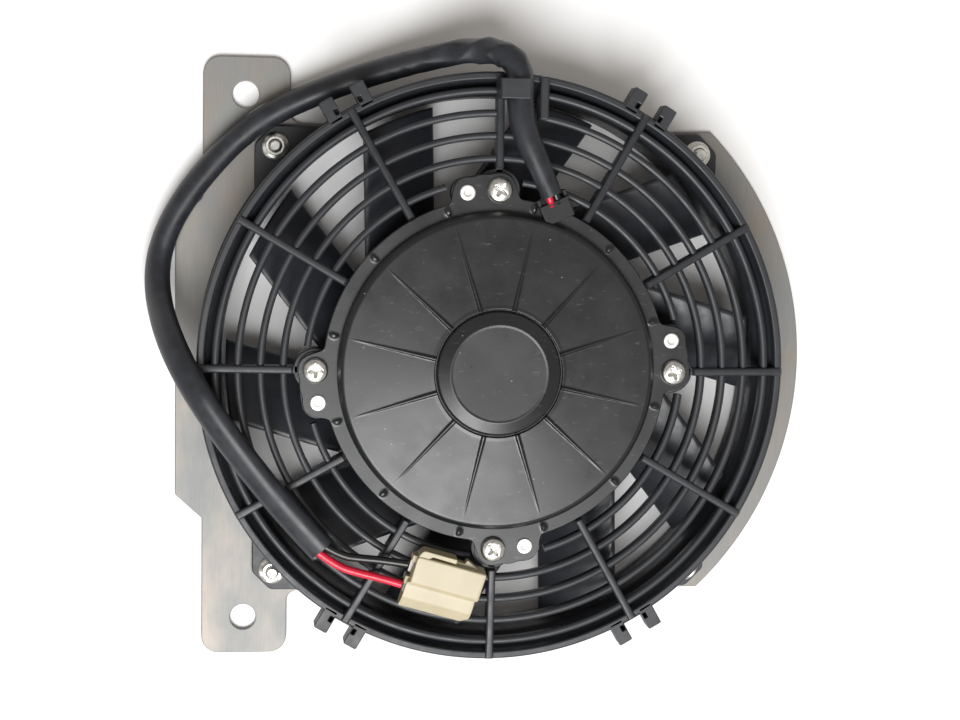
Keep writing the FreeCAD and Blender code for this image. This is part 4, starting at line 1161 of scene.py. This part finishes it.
def cover_dome(sizes):
    """The dome as a height over (radius, angle): the profile, plus ribs that are round
    ridges, highest and widest beside the cap and fading outwards. The columns crowd
    towards each rib so that its flanks stay crisp."""
    profile = cover_profile()
    per_rib, crowd = 44, 0.22
    u = np.linspace(-0.5, 0.5, per_rib, endpoint=False)
    warp = crowd * u + (1 - crowd) * 4 * u ** 3
    sector = TURN / sizes.rib_count
    middles = math.radians(RIB_START) + sector * np.arange(sizes.rib_count)
    angle = (middles[:, None] + sector * warp[None]).reshape(1, -1)
    off_rib = np.tile(sector * warp, sizes.rib_count)[None]
    r, z = profile[:, 0][:, None], profile[:, 1][:, None]
    outer = np.arange(len(profile))[:, None] < np.argmax(profile[:, 1] < COVER_TOP)
    fade = np.clip((RIB_R1 - r) / (RIB_R1 - RIB_R0), 0.0, 1.0)
    wide = sizes.rib_width / MM / 2 * (RIB_END_WIDTH + (1 - RIB_END_WIDTH) * fade)
    ridge = np.exp(-np.abs(r * np.sin(off_rib) / wide) ** 3.2)
    start = np.clip((r - CAP_R - 0.1) / 0.25, 0.0, 1.0)
    tall = RIB_END_HEIGHT * (fade > 0) + (1 - RIB_END_HEIGHT) * fade
    lift = sizes.rib_height / MM * tall * ridge * start * outer
    return shell(spun(r, angle, z + lift))


LUG_SCREW_R = 7.4
LUG_RIVET_R = 6.6
LUG_SOFTEN = 1.0


def lug_edge(angle):
    """The flange's outer radius at an angle: the furthest of the flange circle and the lug
    circles round each screw and rivet, smoothed along the edge so that they flow together."""
    found = np.full_like(angle, FLANGE_R)
    for quarter in range(4):
        for swing, size in ((0.0, LUG_SCREW_R), (RIVET_SWING, LUG_RIVET_R),
                            (RIVET_SWING / 2, LUG_RIVET_R + 0.3)):
            off = angle - math.radians(90.0 * quarter + swing)
            off = (off + math.pi) % TURN - math.pi
            root = size ** 2 - (SCREW_R * np.sin(off)) ** 2
            reach = SCREW_R * np.cos(off) + np.sqrt(np.maximum(root, 0.0))
            found = np.where((root > 0) & (np.cos(off) > 0), np.maximum(found, reach), found)
    spread_by = math.radians(LUG_SOFTEN)
    offsets = (angle - angle[0] + math.pi) % TURN - math.pi
    weights = np.exp(-(offsets / spread_by) ** 2 / 2)
    return np.real(np.fft.ifft(np.fft.fft(found) * np.fft.fft(weights / weights.sum())))


def flange_sheet(z0, z1, inner, bumps=False):
    """A flat sheet ring with the lugs' outline; half-moon bumps stand on it outside the
    dome: one side of each is cut straight across the radius."""
    angle = around(1080)
    edge = lug_edge(angle)[None]
    share = np.concatenate([np.linspace(0.0, 0.96, 13), [1.0]])[:, None]
    r_top = inner + (edge - 0.35 - inner) * share
    z_top = np.full_like(r_top, z1)
    if bumps:
        first, apart = math.radians(RIB_START), TURN / BUMP_N
        middle = first + apart * np.round((angle - first) / apart)
        across = BUMP_R * np.sin(angle - middle)[None]
        far = ((across / BUMP_HALF_W) ** 2 + ((r_top - BUMP_R) / BUMP_HALF_R) ** 2) ** 2
        z_top = z_top + BUMP_H * np.exp(-far) / (1 + np.exp(-(across + 0.3) * 6.0))
    r_rest = np.concatenate([edge, edge, edge - 0.35, np.full_like(edge, inner)])
    z_rest = np.array([z1 - 0.35, z0 + 0.3, z0, z0])[:, None] + 0 * edge
    radius, height = np.concatenate([r_top, r_rest]), np.concatenate([z_top, z_rest])
    return shell(spun(radius, angle, height), closed=True)


class COOLER_OT_motor_cover(bpy.types.Operator):
    """The pressed cover with its ribs and cap, and the coated can under it"""
    bl_idname = "cooler.motor_cover"
    bl_label = "Motor cover"

    def execute(self, context):
        coat = coated_steel(context.scene.finishes.cover)
        shells = [cover_dome(context.scene.motor_sizes),
                  flange_sheet(COVER_FLANGE, COVER_TOP, DOME_R - 1.4, bumps=True)]
        piece("ribbed_cover", shells, coat, stands_for=("motor_cover",))
        carried_over("motor_can", coat)
        return {"FINISHED"}


def screw_head(radius, turn, centre):
    """A pan head as a height over (radius, angle): a low dome less a cross-shaped recess
    whose arms narrow and deepen towards the middle."""
    profile = resampled(rounded([
        (0.0, SCREW_TOP, 0), (3.2, SCREW_TOP - 0.25, 2.0), (radius - 0.7, SCREW_SHOULDER, 1.2),
        (radius, SCREW_EDGE, 0.8), (radius, 0.0, 0.1), (0.0, 0.0, 0)], closed=False), 0.28)
    angle = around(96)[None]
    r, z = profile[:, 0][:, None], profile[:, 1][:, None]
    x, y = r * np.cos(angle), r * np.sin(angle)
    arm = np.minimum(np.abs(x), np.abs(y)) - (CROSS_ARM - CROSS_TAPER * r)
    inside = 1 / (1 + np.exp(arm * 9.0)) / (1 + np.exp((r - CROSS_REACH) * 6.0))
    depth = inside * np.clip(CROSS_DEPTH - CROSS_RISE * r, 0.0, None) * (z > CROSS_DEPTH)
    return moved(shell(np.stack([x, y, z - depth], -1)), turn=turn, to=centre)


def rivet_head(centre):
    """A flat rivet head with a round edge and a shallow punched middle."""
    profile = rounded([(0.0, RIVET_DIP, 0), (1.1, RIVET_DIP, 0.4), (1.9, RIVET_TOP + 0.02, 0.5),
                       (RIVET_R, RIVET_TOP, 0.5), (RIVET_R, 0.0, 0.1), (0.0, 0.0, 0)],
                      closed=False)
    points, quads, tris = disc(profile, 48)
    return points + np.array(centre), quads, tris


class COOLER_OT_cover_fasteners(bpy.types.Operator):
    """The four cross-recessed screws and the four rivets beside them"""
    bl_idname = "cooler.cover_fasteners"
    bl_label = "Screws and rivets"

    def execute(self, context):
        size = context.scene.motor_sizes.screw_head / MM
        screws = [screw_head(size, 20.0 + 37.0 * i, polar(SCREW_R, 90.0 * i, COVER_TOP))
                  for i in range(4)]
        rivets = [rivet_head(polar(SCREW_R, RIVET_SWING + 90.0 * i, COVER_TOP)) for i in range(4)]
        piece("pan_head_screws", screws, plated_fastener_steel(), stands_for=("motor_screws",))
        piece("flat_rivets", rivets, peened_rivet_steel(), stands_for=("cover_rivets",))
        return {"FINISHED"}


BLOCK_X, BLOCK_HALF_W, BLOCK_TOP = (-11.0, -2.2), 6.4, 46.6
CHEEK_X, CHEEK_Y, CHEEK_TOP = (-3.4, 0.4), (5.0, 6.5), 46.9
LIP_X, LIP_TOP = (-3.7, -2.5), 48.3
TAIL_R = 1.45
TAIL_PATH = ((-3.4, -2.6), (-2.4, -1.2), (-1.4, 0.0), (0.4, 0.5), (4.0, 0.5))


def sleeve_heading():
    """The level direction, in degrees, in which the sleeve leaves the motor."""
    way = np.array(SLEEVE_ROUTE[1]) - np.array(SLEEVE_ROUTE[0])
    return math.degrees(math.atan2(way[1], way[0]))


class COOLER_OT_lead_exit(bpy.types.Operator):
    """The rubber block in the cover's slot, the slot's raised edge and the wires' first bit"""
    bl_idname = "cooler.lead_exit"
    bl_label = "Lead exit"

    def execute(self, context):
        start = np.array(SLEEVE_ROUTE[0]) / MM
        heading = sleeve_heading()
        inner, outer = CHEEK_Y
        foot = COVER_TOP + 0.05
        blocks = (
            (*BLOCK_X, -BLOCK_HALF_W, BLOCK_HALF_W, 0.8, foot, BLOCK_TOP, 0.6),
            (*LIP_X, -outer, outer, 0.4, COVER_TOP + 0.5, LIP_TOP, 0.35),
            (*CHEEK_X, inner, outer, 0.4, foot, CHEEK_TOP, 0.35),
            (*CHEEK_X, -outer, -inner, 0.4, foot, CHEEK_TOP, 0.35))
        parts = [moved(slab([rectangle(*plan)], low, high, edge), turn=heading,
                       to=(start[0], start[1], 0.0)) for *plan, low, high, edge in blocks]
        piece("lead_block", parts, moulded_rubber(), stands_for=("lead_grommet",))
        finishes = context.scene.finishes
        ahead = polar(1.0, heading)
        across = np.array([-ahead[1], ahead[0], 0.0])
        for name, side, material in (("red_tail", 1.4, red_pvc(finishes)),
                                     ("black_tail", -1.6, black_pvc())):
            line = np.array([start + ahead * s + across * side + np.array([0, 0, lift])
                             for s, lift in TAIL_PATH]) * MM
            piece(name, [lead_tube(line, TAIL_R * MM, 20)], material)
        return {"FINISHED"}


# --- impeller -----------------------------------------------------------------------
def cup_outline():
    """The (r, z) outline of the cup: floor, wall, and a low boss round the shaft."""
    inside, floor, boss = CUP_R - CUP_WALL, CUP_Z0 + CUP_FLOOR, CUP_Z0 + CUP_BOSS_H
    return rounded([
        (CUP_BORE_R, CUP_Z0, 0.2), (CUP_R, CUP_Z0, 3.0), (CUP_R, CUP_Z1, 0.6),
        (inside, CUP_Z1, 0.6), (inside, floor, 2.0), (CUP_BOSS_R, floor, 0.4),
        (CUP_BOSS_R, boss, 0.4), (CUP_BORE_R, boss, 0.2)])


def blade(sizes):
    """A paddle blade over (span, chord): the chord is turned out of the fan's plane, bent to
    a shallow arc, and its ends lie on the cup and on the tip circle. The thickness falls
    away in a half circle at both edges and at the tip."""
    width, thick = sizes.blade_width / MM, sizes.blade_thickness / MM
    turn, pitch = math.radians(BLADE_SWEEP), sizes.blade_pitch
    span = np.array([math.cos(turn), math.sin(turn), 0.0])
    level = np.array([-math.sin(turn), math.cos(turn), 0.0])
    chord = level * math.cos(pitch) + np.array([0, 0, math.sin(pitch)])
    normal = np.cross(span, chord)
    lap = around(64)
    c = -np.cos(lap) * width / 2
    rise = sizes.blade_camber / MM * (1 - (2 * c / width) ** 2)
    face = np.sign(np.sin(lap)) * np.minimum(np.abs(np.sin(lap)) * 2.6, 1.0) * thick / 2
    middle = np.array(BLADE_MID)
    flat = middle[:2] + c[:, None] * chord[:2]
    along = flat @ span[:2]
    square = (flat ** 2).sum(-1)
    ends = [-along + np.sqrt(along ** 2 - square + r ** 2) for r in (CUP_R - 0.9, TIP_R)]
    share = np.array([0.0, 0.02, 0.06, 0.15, 0.3, 0.45, 0.6, 0.75, 0.88, 0.95, 0.985, 0.997, 1.0])
    thin = np.array([1.0] * 10 + [0.95, 0.6, 0.15])
    reach = ends[0][None] + (ends[1] - ends[0])[None] * share[:, None]
    offset = rise[None] + face[None] * thin[:, None]
    rows = (middle + c[None, :, None] * chord + reach[..., None] * span
            + offset[..., None] * normal)
    return shell(rows)


class COOLER_OT_impeller(bpy.types.Operator):
    """The cup and its blades, and the cap that holds it on the shaft"""
    bl_idname = "cooler.impeller"
    bl_label = "Impeller"

    def execute(self, context):
        sizes = context.scene.impeller_sizes
        plastic = moulded_polypropylene("moulded_impeller_nylon", linear("#2a2c31"), 0.36)
        shells = [lathe(cup_outline(), 240)] + spread([blade(sizes)], sizes.blade_count)
        piece("bladed_impeller", shells, plastic, body="rotor", stands_for=("impeller",))
        carried_over("hub_retainer",
                     metal_stock("blued_spring_steel", "#5b5f68", "#8d929b", 0.3, 2.0))
        return {"FINISHED"}


class COOLER_OT_motor_internals(bpy.types.Operator):
    """Finishes for the parts inside the motor"""
    bl_idname = "cooler.motor_internals"
    bl_label = "Motor internals"

    def execute(self, context):
        ground = metal_stock("ground_bearing_steel", "#b9bbbd", "#e2e3e4", 0.18, 1.0,
                             (1.0, 1.0, 0.1))
        finishes = {
            # Sintered ferrite: dull charcoal with a gritty, chipped skin.
            "magnets": metal_stock("sintered_ferrite", "#2f2e2f", "#4a4748", 0.62, 1.2,
                                   metallic=0.0),
            # Varnished laminations: fine dark and pale lines, one per sheet.
            "armature_core": metal_stock("varnished_laminations", "#55524e", "#8f8a82", 0.42, 0.8,
                                         (0.02, 0.02, 1.0)),
            # Enamelled copper: glossy red-brown strands laid side by side.
            "armature_winding": metal_stock("enamelled_copper", "#8c3f1c", "#c9733f", 0.26, 0.9,
                                            (0.2, 1.0, 1.0)),
            # Turned copper bars, burnished by the brushes.
            "commutator": metal_stock("turned_copper", "#b5734a", "#dd9f73", 0.2, 0.7,
                                      (1.0, 1.0, 0.1)),
            "motor_shaft": ground,
            "bearing_inner_rings": ground,
            "bearing_outer_rings": ground,
            "bearing_balls": ground,
            # Phenolic paper board: brown, matt, with faint fibres.
            "brush_plate": metal_stock("phenolic_board", "#6a4428", "#8a5c37", 0.5, 2.0,
                                       (1.0, 0.2, 1.0), metallic=0.0),
            "brush_holders": stamped_brass(),
            # Pressed carbon: dark grey, slightly shiny where it slides.
            "brushes": metal_stock("pressed_carbon", "#1e1e1f", "#38383a", 0.48, 0.8,
                                   metallic=0.0),
            "brush_springs": metal_stock("drawn_spring_steel", "#8f9296", "#c8cacc", 0.28, 0.6,
                                         (0.1, 1.0, 1.0)),
        }
        for node, material in finishes.items():
            carried_over(node, material)
        return {"FINISHED"}


# --- add-on -------------------------------------------------------------------------
OPERATORS = (
    COOLER_OT_stage, COOLER_OT_leads, COOLER_OT_plate, COOLER_OT_plate_hardware,
    COOLER_OT_shroud, COOLER_OT_motor_cover, COOLER_OT_cover_fasteners, COOLER_OT_lead_exit,
    COOLER_OT_impeller, COOLER_OT_motor_internals,
)


class COOLER_PT_sidebar(bpy.types.Panel):
    """Lists the builders and the sizes and colours that they use"""
    bl_idname = "COOLER_PT_sidebar"
    bl_label = "Oil cooler fan module"
    bl_space_type = "VIEW_3D"
    bl_region_type = "UI"
    bl_category = "Cooler"

    def draw(self, context):
        column = self.layout.column()
        for group_name, group in GROUPS.items():
            for field in group.__annotations__:
                column.prop(getattr(context.scene, group_name), field)
        for operator in OPERATORS:
            column.operator(operator.bl_idname)


def register():
    for group in GROUPS.values():
        bpy.utils.register_class(group)
    for name, group in GROUPS.items():
        setattr(bpy.types.Scene, name, bpy.props.PointerProperty(type=group))
    for operator in OPERATORS:
        bpy.utils.register_class(operator)
    bpy.utils.register_class(COOLER_PT_sidebar)


def unregister():
    bpy.utils.unregister_class(COOLER_PT_sidebar)
    for operator in reversed(OPERATORS):
        bpy.utils.unregister_class(operator)
    for name, group in GROUPS.items():
        delattr(bpy.types.Scene, name)
        bpy.utils.unregister_class(group)


def main():
    register()
    for operator in OPERATORS:
        category, name = operator.bl_idname.split(".")
        getattr(getattr(bpy.ops, category), name)()


if __name__ == "__main__":
    main()
